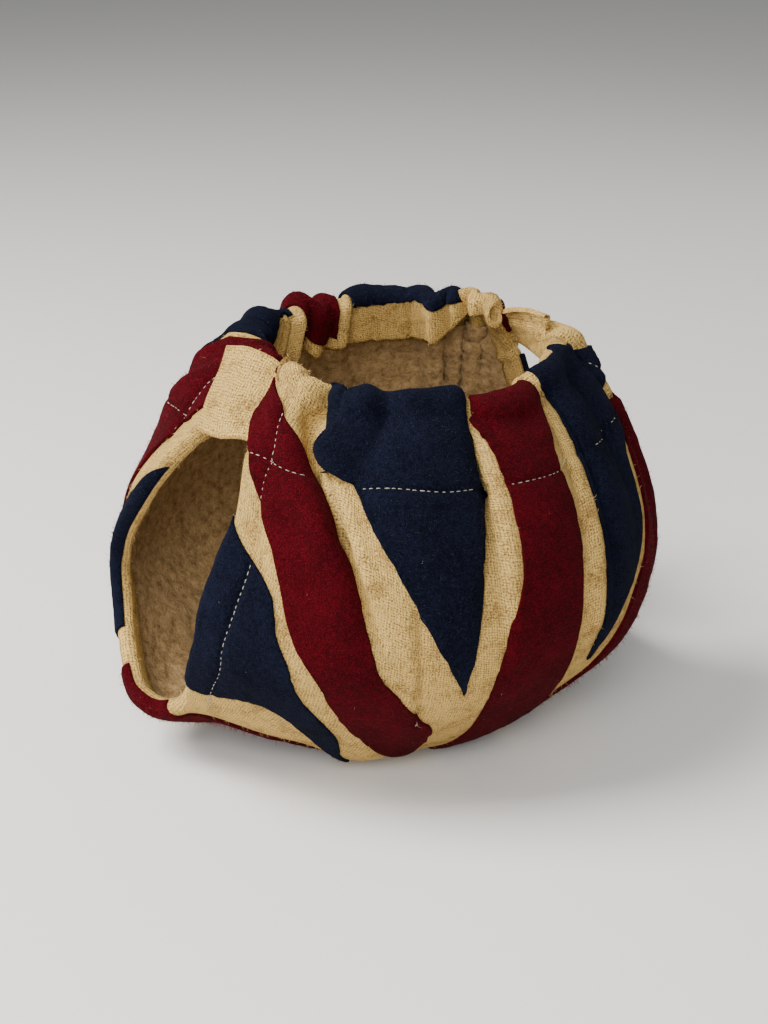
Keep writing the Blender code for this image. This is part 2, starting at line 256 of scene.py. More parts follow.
# %% The gathers
#       across angle  out  up
NEAR_RIM = (
    (-105, -80, 0, -1),
    (-99, -77, 2, 0),
    (-92, -70, 3, -1),
    (-86, -64, 1, -4),
    (-81, -60, -4, -6),
    (-76, -55, 0, -5),
    (-50, -37, 4, -4),
    (-34, -23, 4, -3.5),
    (-24, -12.5, 0, -4.5),
    (-18, -9.5, -5, -8),
    (-12.5, -7.5, 0, -8),
    (0, 4.5, 4, -7),
    (12.5, 18.5, 0, -7),
    (18, 22, -5, -7),
    (24, 26, -2, -5),
    (40, 36, 1, -4),
    (55, 46, -1, -4),
    (70, 57, 1, -3),
    (84, 62.5, -1, -2),
    (91, 65, -4, -1),
    (97, 70.5, 4, 0),
    (105, 80, 1, 0),
)
FAR_RIM = (
    (-105, -86, 0, -2),
    (-95, -78, 1, -2),
    (-86, -70, 2, -2),
    (-79, -64, -3, -4),
    (-72, -58, 3, -2),
    (-50, -42, 5, 0),
    (-34, -34, 3, 0),
    (-24, -29, 0, -1),
    (-18, -26.5, -4, -1),
    (-12.5, -24, 0, 0),
    (-6.5, -18.5, 4, 2),
    (0, -13, -3, -2),
    (6.5, -7, 3, 0),
    (12.5, -2, 0, -1),
    (18, 0.5, -4, 0),
    (24, 3, 0, 0),
    (42, 16, 4, 0),
    (58, 28, 5, 0),
    (70, 37, 3, 0),
    (76, 41, -4, -1),
    (81, 46, 4, 0),
    (86, 50.5, -1.5, 1),
    (91, 55, 5, 2),
    (95.5, 59, -1.5, 1),
    (100, 63.5, 4, 1),
    (105, 67, 2, -1),
)
print("gathers:", len(NEAR_RIM), "places on the near rim and", len(FAR_RIM), "on the far rim")

# %% [markdown]
# ## From flat to worn
# One function now takes a flat place to its place on the pot.  It walks the tape to find how far up the place
# is, fans the cloth out to find its angle, and draws it into the gathers near the rim.  Past the rim it rolls
# the cloth over and runs it down inside.

# %% From flat to worn
# The gathers begin at these shares of the way up: their angle, their depth and their rise.
ANGLE_FROM, DEPTH_FROM, RISE_FROM = 0.62, 0.45, 0.7
GATHER_SHARPENS = 1.2
# How strongly the folds fan out below the rim, and how far from the cloth's middle they begin to.
GATHER_FAN = 0.6
FANS_FROM = (25, 60)
# The tape's length to the rim, and where along the cloth it is stretched to reach it.
TAPE_TO_RIM = 205
STRETCHED = (20, 160)
# Low down the cloth fans out from the flag's centre, and higher up its threads stand upright.
UPRIGHT_FROM = (10, 105)
# Where the lips are: along the cloth they end, and across it they begin.
LIP_ALONG = (5, 50)
LIP_ACROSS = (40, 95)
# The angles over which the pot's spout side turns into its handle side.
TO_HANDLE = (-35, 35)
# Under the handle the cloth is drawn tight: how much, at which angles, and from where to where on the tape.
TIGHT = 0.16
TIGHT_ANGLES = (-35, 45)
TIGHT_FROM, TIGHT_TO = (20, 60), (75, 150)
# How far the turned-in end leans away from the neck, for each millimetre down.
LEG_LEAN = 0.25


def worn(across, along):
    """Where a point of the flat cloth lies on the pot, in millimetres from the foot of the pot's axis."""
    far = along > 0
    rim = rim_along(across)
    past_rim = np.maximum(np.abs(along) - rim, 0)
    up = np.minimum(np.abs(along), rim)
    share_up = up / rim

    def gathered(column, place):
        return np.where(far, curve(FAR_RIM, column, place), curve(NEAR_RIM, column, place))

    def opening(near, far_one):
        return np.where(far, curve(OPENING, far_one, up), curve(OPENING, near, up))

    walk = np.hypot(across, up) * (1 + smooth(up, *STRETCHED) * (TAPE_TO_RIM / np.hypot(across, rim) - 1))
    fan = np.arctan2(across, np.maximum(up, 1e-6)) / np.arctan2(HALF_WIDTH, np.maximum(up, 1e-6))
    fan = mixed(fan, across / HALF_WIDTH, smooth(up, *UPRIGHT_FROM))
    angle = np.where(across < 0, opening(1, 2), opening(3, 4)) * fan
    angle = mixed(angle, gathered(1, across), smooth(share_up, ANGLE_FROM, 1))
    lean = GATHER_FAN * smooth(np.abs(across), *FANS_FROM)
    gather = gathered(2, across * (rim / np.maximum(up, 1)) ** lean)
    gather = gather * smooth(share_up, DEPTH_FROM, 1) ** GATHER_SHARPENS
    rise = gathered(3, across) * smooth(share_up, RISE_FROM, 1)

    to_handle = smooth(angle, *TO_HANDLE)
    lip = (1 - smooth(up, *LIP_ALONG)) * smooth(np.abs(across), *LIP_ACROSS)
    belly, low = (mixed(curve(form, 1, walk), curve(form, 2, walk), to_handle) for form in (BODY, LIP))
    length = mixed(belly, low, lip)
    width = curve(BODY, 3, walk)
    height = mixed(curve(BODY, 4, walk), curve(LIP, 3, walk), lip)

    turn = np.radians(angle)
    radius = 1 / np.hypot(np.sin(turn) / np.maximum(length, 1e-6), np.cos(turn) / np.maximum(width, 1e-6))
    tight = smooth(angle, *TIGHT_ANGLES) * smooth(walk, *TIGHT_FROM) * (1 - smooth(walk, *TIGHT_TO))
    radius = radius * (1 - TIGHT * tight)

    roll = np.minimum(past_rim / ROLL, math.pi)
    leg = np.maximum(past_rim - math.pi * ROLL, 0)
    radius = radius + gather * (1 - 0.5 * roll / math.pi) - ROLL * (1 - np.cos(roll)) + LEG_LEAN * leg
    height = height + ROLL * np.sin(roll) - leg + rise
    side = np.where(far, 1, -1)
    return np.stack([radius * np.sin(turn), side * radius * np.cos(turn), np.maximum(height, 0)], -1)


print("the middle of the near rim stands at", worn(np.array([0.0]), np.array([-RIM]))[0].round(1))

# %% [markdown]
# ## One chart for every layer
# Cloth, felt and stitches lie on each other, so they must all follow the same folds.  The form is worked
# out once on a fine flat grid, as a chart of places and of outward directions.  Each piece then reads the
# chart where it needs it and steps off it by its own height.  That is quicker than a shrinkwrap for every
# layer, and no layer can cut through the next.

# %% The chart of the worn surface
CHART_STEP = 1.0
CHART_BEYOND_RIM = 32.0
RANDOM_TILE = 64
RANDOM_START = (17.3, 9.1)


def uneven(x, y, size, seed):
    """A smooth random height from -1 to 1 over a plane, with bumps about `size` across."""
    heights = np.random.RandomState(seed).uniform(-1, 1, (RANDOM_TILE, RANDOM_TILE))
    u, v = x / size + RANDOM_START[0], y / size + RANDOM_START[1]
    i, j = np.floor(u).astype(int), np.floor(v).astype(int)
    s, t = smooth(u - i, 0, 1), smooth(v - j, 0, 1)
    i, j, next_i, next_j = (number % RANDOM_TILE for number in (i, j, i + 1, j + 1))
    first_row = mixed(heights[i, j], heights[next_i, j], s)
    return mixed(first_row, mixed(heights[i, next_j], heights[next_i, next_j], s), t)


def layered(x, y, layers, seed):
    """Random heights of several sizes, added up.  Each layer is its height and its size."""
    return sum(height * uneven(x, y, size, seed + i) for i, (height, size) in enumerate(layers))


def outward(places, softening):
    """The direction out of the cloth at every chart point, averaged with its neighbours a few times."""
    out = unit(np.cross(np.gradient(places, axis=0), np.gradient(places, axis=1)))
    for _ in range(softening):
        wide = np.pad(out, ((1, 1), (1, 1), (0, 0)), mode="edge")
        out = unit(2 * out + wide[:-2, 1:-1] + wide[2:, 1:-1] + wide[1:-1, :-2] + wide[1:-1, 2:])
    return out


chart_across = np.arange(-HALF_WIDTH, HALF_WIDTH + CHART_STEP / 2, CHART_STEP)
chart_along = np.arange(-RIM - CHART_BEYOND_RIM, RIM + CHART_BEYOND_RIM + CHART_STEP / 2, CHART_STEP)
flat_across, flat_along = np.meshgrid(chart_across, chart_along)
place_chart = worn(flat_across, flat_along)
print("chart of", place_chart.shape[0], "by", place_chart.shape[1], "places")

# %% [markdown]
# ## Nudges
# Hands leave a cosy uneven: a corner is pulled down, a flap is pushed over its neighbour.  Each row below
# is one such nudge.  It has a middle and a reach on the flat cloth, and then how far it carries the cloth
# round the pot (towards the handle on the near side), out from the axis and up.

# %% Nudges
#    across along  reach across, along   round  out   up
NUDGES = (
    (-90, -17, 20, 14, 0, -2.0, 6.0),
    (-48, -44, 12, 12, 0, 2.0, -3.5),
    (-66, -168, 9, 10, -4.6, 3.5, 0.0),
    (-81, -166, 5, 14, -1.0, -5.0, 0.0),
    (97, -170, 11, 14, 0, 4.0, -2.5),
    (42, -90, 20, 20, 0, 3.5, -1.0),
    (-107, -18, 10, 12, 0, -4.5, -7.0),
    (-107, 22, 10, 12, 0, 0, 3.0),
    (-78, 160, 14, 16, 2.0, 6.0, 3.0),
    (-67, 178, 13, 13, 0, 5.0, 1.0),
    (86, 176, 12, 14, 0, 2.0, 0.0),
)


def nudged(places, across, along):
    """Moves worn places by the nudges."""
    out = unit(places * (1, 1, 0))
    round_way = np.stack([-out[..., 1], out[..., 0], out[..., 2]], -1)
    moved = places.copy()
    for *where, turn, away, lift in NUDGES:
        nudge = round_way * turn + out * away + np.array((0, 0, lift))
        moved += hump(across, along, *where)[..., None] * nudge
    moved[..., 2] = np.maximum(moved[..., 2], 0)
    return moved


place_chart = nudged(place_chart, flat_across, flat_along)
print(len(NUDGES), "nudges")

# %% [markdown]
# ## Creases
# The smaller creases are soft troughs and ridges along a line on the flat cloth: where it starts and ends,
# how far it stands out at each end, and how wide it is.  A trough that is narrow and deep reads as a pinch,
# and a wide shallow one as slack.

# %% Creases
#    start (across, along)  end (across, along)  out at start  out at end  width
CREASES = (
    ((-84, -170), (-77.4, -152.4), -4.0, -6.0, 2.8),
    ((-77.4, -152.4), (-68.6, -135), -6.6, -5.4, 2.4),
    ((-68.6, -135), (-56, -112), -5.4, -0.8, 2.8),
    ((-71.5, -155), (-58, -125), 3.0, 1.2, 2.6),
    ((-74.5, -200), (-71.2, -172), -6.5, -2.2, 2.4),
    ((-60, -194), (-56, -174), 1.6, 0.0, 5.0),
    ((-48, -196), (-60, -156), -2.2, -2.4, 5.0),
    ((-66, -186), (-70, -160), 1.2, 1.6, 3.6),
    ((-18.5, -200), (-17.5, -166), -5.5, -4.5, 2.6),
    ((-17.5, -166), (-21, -142), -4.5, -3.0, 2.6),
    ((-21, -142), (-27, -112), -3.0, -0.5, 2.8),
    ((-13, -198), (-12.0, -116), 3.6, 1.4, 3.0),
    ((19, -198), (21.5, -116), 3.6, 1.4, 3.0),
    ((26, -196), (28.5, -120), -3.8, -0.8, 2.6),
    ((2, -200), (3, -172), -1.6, 0.0, 4.0),
    ((48, -190), (44, -120), -2.6, 0.0, 4.5),
    ((64, -184), (56, -130), 1.0, 0.0, 5.0),
    ((80, -172), (74, -130), 0.9, 0.0, 5.0),
    ((-45.1, -125), (-41.4, -82), -2.1, -1.6, 1.0),
    ((-48, -122), (-44.4, -82), 0.7, 0.6, 1.6),
    ((-28, 230), (-28, 196), -2.2, -0.5, 1.8),
    ((-36, 230), (-35, 196), -2.2, -0.5, 1.8),
    ((-44, 230), (-42, 196), -1.1, -0.5, 2.2),
    ((40, 230), (40, 200), -1.6, 0.0, 2.0),
    ((62, 226), (60, 190), -2.0, 0.0, 2.4),
    ((-30, 200), (-36, 150), -2.4, 0.0, 4.0),
    ((-48, 198), (-52, 140), 2.0, 0.0, 6.0),
    ((-70, 180), (-60, 120), -2.4, 0.0, 5.0),
    ((34, 198), (36, 140), 2.0, 0.0, 6.0),
    ((56, 190), (48, 130), -2.4, 0.0, 5.0),
)
print(len(CREASES), "creases")

# %% [markdown]
# ## Drawn in by the stitches
# Two lines of stitches draw the cloth in beside them: one holds the drawstring's casing below the rim, and
# one holds the hem.  With the creases and a little slack everywhere they finish the chart.

# %% Casing, hem and slack
# The casing's stitches run this far below the rim, and sag over one pleat.
CASING = 32.7
CASING_SAG = 2.4
SAG_PLACE = -26
SAG_REACH = 13
# The hem's stitches run this far across the cloth, and come in towards the corners.
HEM_LINE = 96.5
HEM_LINE_IN = 5.5
COMES_IN = (122, 152)
# How deep each line of stitches draws the cloth in, and how wide that groove is.
CASING_DRAW, CASING_GROOVE = 1.0, 1.3
HEM_DRAW, HEM_GROOVE = 1.3, 1.4
DRAWN_FROM = (20, 45)
SLACK = 0.35
SLACK_SIZE = 16.0
# How often the outward directions are averaged, for the creases and for the layers on the cloth.
CREASES_SOFTENED, CHART_SOFTENED = 4, 3


def casing_line(across):
    """How far along the cloth the stitches of the drawstring's casing run."""
    return rim_along(across) - CASING - CASING_SAG * np.exp(-(((across - SAG_PLACE) / SAG_REACH) ** 2))


def hem_line(along):
    """How far across the cloth the stitches of the hem run."""
    return HEM_LINE - HEM_LINE_IN * smooth(np.abs(along), *COMES_IN)


def crease_heights(across, along):
    """How far the creases lift or sink the cloth at each flat place."""
    total = SLACK * uneven(across, along, SLACK_SIZE, 4)
    for start, end, out_start, out_end, width in CREASES:
        start, way = np.array(start, float), np.array(end, float) - np.array(start, float)
        offset = np.stack([across - start[0], along - start[1]], -1)
        share = np.clip(offset @ way / (way @ way), 0, 1)
        away = np.linalg.norm(offset - share[..., None] * way, axis=-1)
        total = total + mixed(out_start, out_end, share) * np.exp(-((away / width) ** 2))
    casing = (casing_line(across) - np.abs(along)) / CASING_GROOVE
    hem = (hem_line(along) - np.abs(across)) / HEM_GROOVE
    drawn = CASING_DRAW * np.exp(-(casing**2)) + HEM_DRAW * np.exp(-(hem**2))
    return total - smooth(np.abs(along), *DRAWN_FROM) * drawn


creased = crease_heights(flat_across, flat_along)[..., None]
place_chart = place_chart + outward(place_chart, CREASES_SOFTENED) * creased
place_chart[..., 2] = np.maximum(place_chart[..., 2], 0)
out_chart = outward(place_chart, CHART_SOFTENED)
print("the chart reaches", round(float(place_chart[..., 2].max()), 1), "mm up")

# %% [markdown]
# ## Laying a piece on the chart
# `lay` is the one tool that turns a flat place into a place in the room.  Past the spout and handle edges
# the cloth rolls over into a narrow hem, so there it goes on round a small circle and back along the
# inside.

# %% Reading the chart
HEM_ROLL = 1.9
HEM_LEG = 8.0
EDGE_PROBE = 3


def read_chart(chart, across, along):
    """Reads the chart between its points."""
    u = np.clip((across - chart_across[0]) / CHART_STEP, 0, len(chart_across) - 1.001)
    v = np.clip((along - chart_along[0]) / CHART_STEP, 0, len(chart_along) - 1.001)
    i, j = np.floor(v).astype(int), np.floor(u).astype(int)
    s, t = (u - j)[..., None], (v - i)[..., None]
    return mixed(mixed(chart[i, j], chart[i, j + 1], s), mixed(chart[i + 1, j], chart[i + 1, j + 1], s), t)


def as_grids(*values):
    """Numbers and grids as grids of one size."""
    return np.broadcast_arrays(*(np.asarray(value, float) for value in values))


def lay(across, along, lift):
    """Places in the room, in millimetres, for flat places that stand `lift` off the middle of the cloth."""
    across, along, lift = as_grids(across, along, lift)
    inside = np.clip(across, -HALF_WIDTH, HALF_WIDTH)
    place, out = read_chart(place_chart, inside, along), read_chart(out_chart, inside, along)
    edge_way = place - read_chart(place_chart, inside - EDGE_PROBE * np.sign(across), along)
    edge_way = unit(edge_way - out * (edge_way * out).sum(-1, keepdims=True))
    past = np.maximum(np.abs(across) - HALF_WIDTH, 0)
    turn = np.minimum(past / HEM_ROLL, math.pi)[..., None]
    leg = np.maximum(past - math.pi * HEM_ROLL, 0)[..., None]
    place = place + edge_way * (HEM_ROLL * np.sin(turn) - leg) - out * HEM_ROLL * (1 - np.cos(turn))
    out = out * np.cos(turn) + edge_way * np.sin(turn)
    return place + out * lift[..., None] + STAND


print("the foot of the flag's centre:", lay(0, 0, -CLOTH / 2).round(2))

# %% [markdown]
# ## A shell from a grid
# Each sheet starts as a grid of flat places.  The shell has an outer and an inner skin that meet at the
# border, where the thickness runs out over a short round nose, as the edge of thick wool does.  The flat
# places become the UV map, so that a weave later follows the threads of the real cloth and not the shape of
# the pot.

# %% Making a shell
def border_distance(across, along):
    """How far each grid point lies from the grid's border, measured on the flat cloth."""
    def from_ends(axis):
        step = np.hypot(np.diff(across, axis=axis), np.diff(along, axis=axis))
        zero = np.zeros_like(np.take(across, [0], axis=axis))
        walked = np.concatenate([zero, np.cumsum(step, axis=axis)], axis=axis)
        return np.minimum(walked, np.take(walked, [-1], axis=axis) - walked)
    return np.minimum(from_ends(0), from_ends(1))


def mesh_object(name, verts, faces, material, uvs=None):
    """A mesh object from places in millimetres, smooth shaded, with the flat places as its UV map."""
    mesh = bpy.data.meshes.new(name)
    mesh.from_pydata((np.asarray(verts) * MM).tolist(), [], faces)
    if uvs is not None:
        layer = mesh.uv_layers.new(name="flat")
        corners = np.zeros(len(mesh.loops), int)
        mesh.loops.foreach_get("vertex_index", corners)
        layer.data.foreach_set("uv", (np.asarray(uvs)[corners] * MM).ravel())
    mesh.shade_smooth()
    mesh.materials.append(material)
    return placed(name, mesh)


def shell(name, across, along, middle, thickness, nose, material, puff=0, inner_puff=0, surface=lay):
    """A closed sheet over a grid of flat places: `middle` is the height of its middle over the surface.

    `puff` lifts its outer skin, and `inner_puff` its inner one.
    """
    rows, columns = across.shape
    share = np.clip(border_distance(across, along) / nose, 0, 1)
    half = thickness / 2 * np.sqrt(1 - (1 - share) ** 2)
    outer = surface(across, along, middle + half + puff).reshape(-1, 3)
    inner = surface(across, along, middle - half - inner_puff * share).reshape(-1, 3)
    number = np.arange(rows * columns).reshape(rows, columns)
    under = number + rows * columns
    under[0], under[-1], under[:, 0], under[:, -1] = number[0], number[-1], number[:, 0], number[:, -1]
    used, packed = np.unique(np.concatenate([number.ravel(), under.ravel()]), return_inverse=True)
    verts = np.concatenate([outer, inner])[used]
    top, low = packed[: number.size].reshape(rows, columns), packed[number.size:].reshape(rows, columns)

    def quads(grid, flip):
        corners = [grid[:-1, :-1], grid[:-1, 1:], grid[1:, 1:], grid[1:, :-1]]
        return np.stack(corners[::-1] if flip else corners, -1).reshape(-1, 4)

    flat = np.stack([across.ravel(), along.ravel()], -1)
    uvs = np.concatenate([flat, flat])[used]
    faces = np.concatenate([quads(top, True), quads(low, False)])
    faces = [tuple(dict.fromkeys(face)) for face in faces.tolist()]
    return mesh_object(name, verts, [face for face in faces if len(face) > 2], material, uvs)


print("shells are ready")

# %% [markdown]
# ## Materials
# Nothing here uses a picture.  The cream is a coarse plain weave: two sets of waves cross on the UV map,
# one for each set of threads, and noise makes some threads thick and some thin.  The weave's height is also
# painted into the cream's colour, as a painted highlight on the threads' backs and painted shade between
# them.
# The felts are milled wool, with no weave left in sight, so they are a mottled colour under a soft, fibrous
# bump.  A sheen gives all of them the pale bloom that wool shows at its edges.

# %% Building blocks for the materials
SHEEN_ROUGHNESS = 0.5
SPECULAR = 0.04


class Wool:
    """A Principled material and short ways to add nodes to it."""

    def __init__(self, name, roughness, sheen, sheen_tint):
        self.material = bpy.data.materials.new(name)
        self.material.use_nodes = True
        self.tree = self.material.node_tree
        self.shader = self.tree.nodes["Principled BSDF"]
        settings = {
            "Roughness": roughness, "Specular IOR Level": SPECULAR,
            "Sheen Weight": sheen, "Sheen Roughness": SHEEN_ROUGHNESS, "Sheen Tint": (*sheen_tint, 1),
        }
        for key, value in settings.items():
            self.shader.inputs[key].default_value = value
        coordinates = self.tree.nodes.new("ShaderNodeTexCoord")
        self.room, self.flat = coordinates.outputs["Object"], coordinates.outputs["UV"]

    def node(self, kind, settings=None, **inputs):
        """A new node.  An input is a value or a socket to link."""
        node = self.tree.nodes.new(kind)
        for key, value in (settings or {}).items():
            setattr(node, key, value)
        for key, value in inputs.items():
            socket = node.inputs[int(key[1:]) if key[1:].isdigit() else key.replace("_", " ")]
            if isinstance(value, bpy.types.NodeSocket):
                self.tree.links.new(value, socket)
            else:
                socket.default_value = value
        return node

    def math(self, operation, a, b=0.0):
        """One arithmetic step."""
        return self.node("ShaderNodeMath", {"operation": operation}, i0=a, i1=b).outputs[0]

    def noise(self, size_mm, where, detail=2.0, roughness=0.5):
        """Noise with bumps about size_mm across."""
        scale = 1 / (size_mm * MM)
        node = self.node("ShaderNodeTexNoise", Vector=where, Scale=scale, Detail=detail, Roughness=roughness)
        return node.outputs["Fac"]

    def spread(self, value, low, high, to_low=0.0, to_high=1.0):
        """Stretches a range of values onto another, and clamps it."""
        node = self.node("ShaderNodeMapRange", i0=value, i1=low, i2=high, i3=to_low, i4=to_high)
        return node.outputs[0]

    def vector(self, operation, first, **inputs):
        """One step of arithmetic on vectors."""
        return self.node("ShaderNodeVectorMath", {"operation": operation}, i0=first, **inputs).outputs[0]

    def total(self, *weighted):
        """The sum of several values, each times its weight."""
        total = 0.0
        for value, weight in weighted:
            node = self.node("ShaderNodeMath", {"operation": "MULTIPLY_ADD"}, i0=value, i1=weight, i2=total)
            total = node.outputs[0]
        return total

    def mix(self, share, first, second):
        """Mixes two colours."""
        colours = {"i6": (*first, 1), "i7": (*second, 1)}
        return self.node("ShaderNodeMix", {"data_type": "RGBA"}, i0=share, **colours).outputs[2]

    def finish(self, colour, height, depth_mm):
        """Links the colour and a bump of that depth."""
        bump = self.node("ShaderNodeBump", Height=height, Strength=1.0, Distance=depth_mm * MM)
        self.tree.links.new(colour, self.shader.inputs["Base Color"])
        self.tree.links.new(bump.outputs[0], self.shader.inputs["Normal"])
        return self.material


# %% [markdown]
# ## The weave
# In a plain weave each thread goes over one and under the next.  A wave along the threads gives their round
# backs, and a slower wave, shifted by one thread from row to row, says which of the two sets is on top.
# Hand milled wool is never that even: the threads wander, the pile hides them in patches and small pits show
# between them, so noise pulls the waves about and covers part of them.  The same heights also go into the
# colour as painted light: a painted highlight on the threads' backs, and painted shade between them and in
# the pits.

# %% Cream wool
THREAD_PITCH = 0.88
# The threads wander this far, in waves about this long.
WANDER = 1.7
WANDER_SIZE = 2.6
CREAM_LIGHT = (0.84, 0.55, 0.172)
CREAM_DARK = (0.22, 0.12, 0.034)


def woven(wool):
    """Height of an uneven plain weave on the flat cloth."""
    scale = 1 / (WANDER_SIZE * MM)
    wander = wool.node("ShaderNodeTexNoise", Vector=wool.flat, Scale=scale, Detail=3.0, Roughness=0.6)
    shift = wool.vector("SUBTRACT", wander.outputs["Color"], i1=(0.5, 0.5, 0.5))
    place = wool.vector("ADD", wool.flat, i1=wool.vector("SCALE", shift, Scale=WANDER * MM))
    parts = wool.node("ShaderNodeSeparateXYZ", i0=place)
    half_turn = math.pi / (THREAD_PITCH * MM)
    x, y = (wool.math("SINE", wool.math("MULTIPLY", parts.outputs[i], half_turn)) for i in (0, 1))
    over = wool.math("MULTIPLY", x, y)
    first = wool.math("MULTIPLY", wool.math("ABSOLUTE", x), wool.spread(over, -0.6, 0.6, 0.3, 1.0))
    second = wool.math("MULTIPLY", wool.math("ABSOLUTE", y), wool.spread(over, -0.6, 0.6, 1.0, 0.3))
    return wool.math("MAXIMUM", first, second)


def make_cream():
    """Coarse undyed wool, woven, hairy and mottled."""
    wool = Wool("cream_wool", 0.97, 0.03, (0.95, 0.85, 0.65))
    bare = wool.spread(wool.noise(6.0, wool.room, 2.0), 0.35, 0.65, 0.35, 1.0)
    weave = wool.math("MULTIPLY", woven(wool), bare)
    hair = wool.noise(0.6, wool.room, 4.0, 0.7)
    mottle = wool.noise(1.5, wool.flat, 3.0, 0.6)
    blotch = wool.noise(9.0, wool.room, 2.0)
    # Small pits between the threads: a dip in the bump, and painted shade that darkens the colour in them.
    pits_with_painted_shade = wool.spread(wool.noise(0.95, wool.flat, 1.0), 0.25, 0.36)
    # The colour's share: the weave paints a highlight on the threads' backs and shade between them, while
    # hair, mottle and blotches are the wool's own tones.
    shade = wool.spread(wool.total((weave, 1.2), (hair, 1.9), (mottle, 0.6), (blotch, 0.35)), 1.4, 2.15)
    shade = wool.math("MULTIPLY", shade, wool.spread(pits_with_painted_shade, 0.0, 1.0, 0.5, 1.0))
    height = wool.total((weave, 1.0), (hair, 1.5), (pits_with_painted_shade, 1.0))
    return wool.finish(wool.mix(shade, CREAM_DARK, CREAM_LIGHT), height, 0.8)


cream = make_cream()
print("made", cream.name)

# %% [markdown]
# ## Felt, fleece and thread
# The two felts share one recipe with different dyes.  Fine pale fibres lie over the dye, so the lighter
# colour comes and goes with a fine noise.

# %% Felt, fleece and thread
RED_DYE = ((0.022, 0.0002, 0.0011), (0.098, 0.0018, 0.0065))
NAVY_DYE = ((0.0009, 0.0012, 0.0038), (0.0078, 0.0102, 0.026))
RED_FIBRES = ((0.11, 0.002, 0.007), (0.27, 0.014, 0.024))
NAVY_FIBRES = ((0.004, 0.006, 0.014), (0.034, 0.042, 0.068))
CREAM_FIBRES = ((0.52, 0.35, 0.14), (0.86, 0.64, 0.32))
FLEECE_SHADES = ((0.15, 0.085, 0.03), (0.46, 0.31, 0.145))
THREAD_SHADES = ((0.27, 0.23, 0.18), (0.56, 0.51, 0.43))


def make_felt(name, dye, sheen, sheen_tint):
    """Milled wool: mottled, fibrous and without a visible weave."""
    wool = Wool(name, 0.95, sheen, sheen_tint)
    fibre = wool.noise(0.45, wool.room, 4.0, 0.8)
    mottle = wool.noise(1.5, wool.room, 3.0, 0.65)
    worn_patch = wool.noise(14.0, wool.room, 2.0)
    shade = wool.spread(wool.total((fibre, 1.8), (mottle, 0.45), (worn_patch, 0.3)), 1.14, 1.5)
    return wool.finish(wool.mix(shade, *dye), wool.total((fibre, 1.0), (mottle, 0.8)), 0.75)


def make_fleece():
    """The lining's pile, in small soft tufts."""
    wool = Wool("fleece", 1.0, 0.08, (0.9, 0.8, 0.65))
    tuft = wool.noise(3.0, wool.room, 4.0, 0.65)
    fine = wool.noise(0.8, wool.room, 3.0, 0.7)
    shade = wool.spread(wool.total((tuft, 0.7), (fine, 0.4)), 0.38, 0.72)
    return wool.finish(wool.mix(shade, *FLEECE_SHADES), wool.total((tuft, 1.0), (fine, 0.4)), 0.9)


def make_thread(name, shades):
    """Sewing thread, or loose fibres of one colour."""
    wool = Wool(name, 0.8, 0.0, (1, 1, 1))
    fine = wool.noise(0.5, wool.room, 2.0)
    return wool.finish(wool.mix(wool.spread(fine, 0.35, 0.65), *shades), fine, 0.1)


red = make_felt("red_felt", RED_DYE, 0.015, (0.9, 0.35, 0.35))
navy = make_felt("navy_felt", NAVY_DYE, 0.015, (0.45, 0.5, 0.85))
fleece = make_fleece()
thread = make_thread("thread", THREAD_SHADES)
red_fibres = make_thread("red_fibres", RED_FIBRES)
navy_fibres = make_thread("navy_fibres", NAVY_FIBRES)
cream_fibres = make_thread("cream_fibres", CREAM_FIBRES)
print("made", red.name, navy.name, fleece.name, thread.name)

# %% [markdown]
# ## The ground cloth
# One oblong of cream wool carries the whole flag.  Its rows follow the rim's droop, so that the last rows
# can roll over the rim and run down inside as the turned-in hem.  Its first and last columns do the same at
# the spout and handle edges.

# %% Ground cloth
GROUND_COLUMN = 1.35
GROUND_ROW = 1.85
GROUND_NOSE = 0.9
ROLL_ROW = 0.8
LEG_ROW = 2.0
HEM_STEPS = 7
LEG_STEPS = 4
# Where the rows begin to droop, and how much shorter the turned-in end is towards the corners.
DROOPS_FROM = 50
CORNER_TRIM = 0.8
TRIMMED = (70, 100)


def spaced(start, end, step):
    """Evenly spaced places, ends included."""
    return np.linspace(start, end, int(math.ceil(abs(end - start) / step)) + 1)


def over_the_rim(end_of_leg):
    """Distances past the rim: fine over the roll, coarser down the leg."""
    rolled = math.pi * ROLL
    return np.concatenate([spaced(0, rolled, ROLL_ROW)[1:], spaced(rolled, rolled + end_of_leg, LEG_ROW)[1:]])


def at_row(across, row):
    """The place along the cloth for a row number that counts to RIM, then on past the rim."""
    rim = rim_along(across)
    up = np.abs(row)
    below = up - (RIM - rim) * smooth(up, DROOPS_FROM, RIM)
    rolled = np.minimum(up - RIM, math.pi * ROLL)
    leg = np.maximum(up - RIM - math.pi * ROLL, 0) * (1 - CORNER_TRIM * smooth(np.abs(across), *TRIMMED))
    return np.sign(row) * np.where(up > RIM, rim + rolled + leg, below)


half = spaced(0, HALF_WIDTH, GROUND_COLUMN)
hem = HALF_WIDTH + np.concatenate([
    np.linspace(0, math.pi * HEM_ROLL, HEM_STEPS + 1)[1:],
    math.pi * HEM_ROLL + np.linspace(0, HEM_LEG, LEG_STEPS + 1)[1:],
])
columns = np.concatenate([half, hem])
columns = np.concatenate([-columns[:0:-1], columns])
half = np.concatenate([spaced(0, RIM, GROUND_ROW), RIM + over_the_rim(TURN_IN)])
rows = np.concatenate([-half[:0:-1], half])
ground_across, row_grid = np.meshgrid(columns, rows)
ground_along = at_row(np.clip(ground_across, -HALF_WIDTH, HALF_WIDTH), row_grid)
ground = shell("ground_cloth", ground_across, ground_along, 0, CLOTH, GROUND_NOSE, cream)
print(len(ground.data.polygons), "faces in the ground cloth")

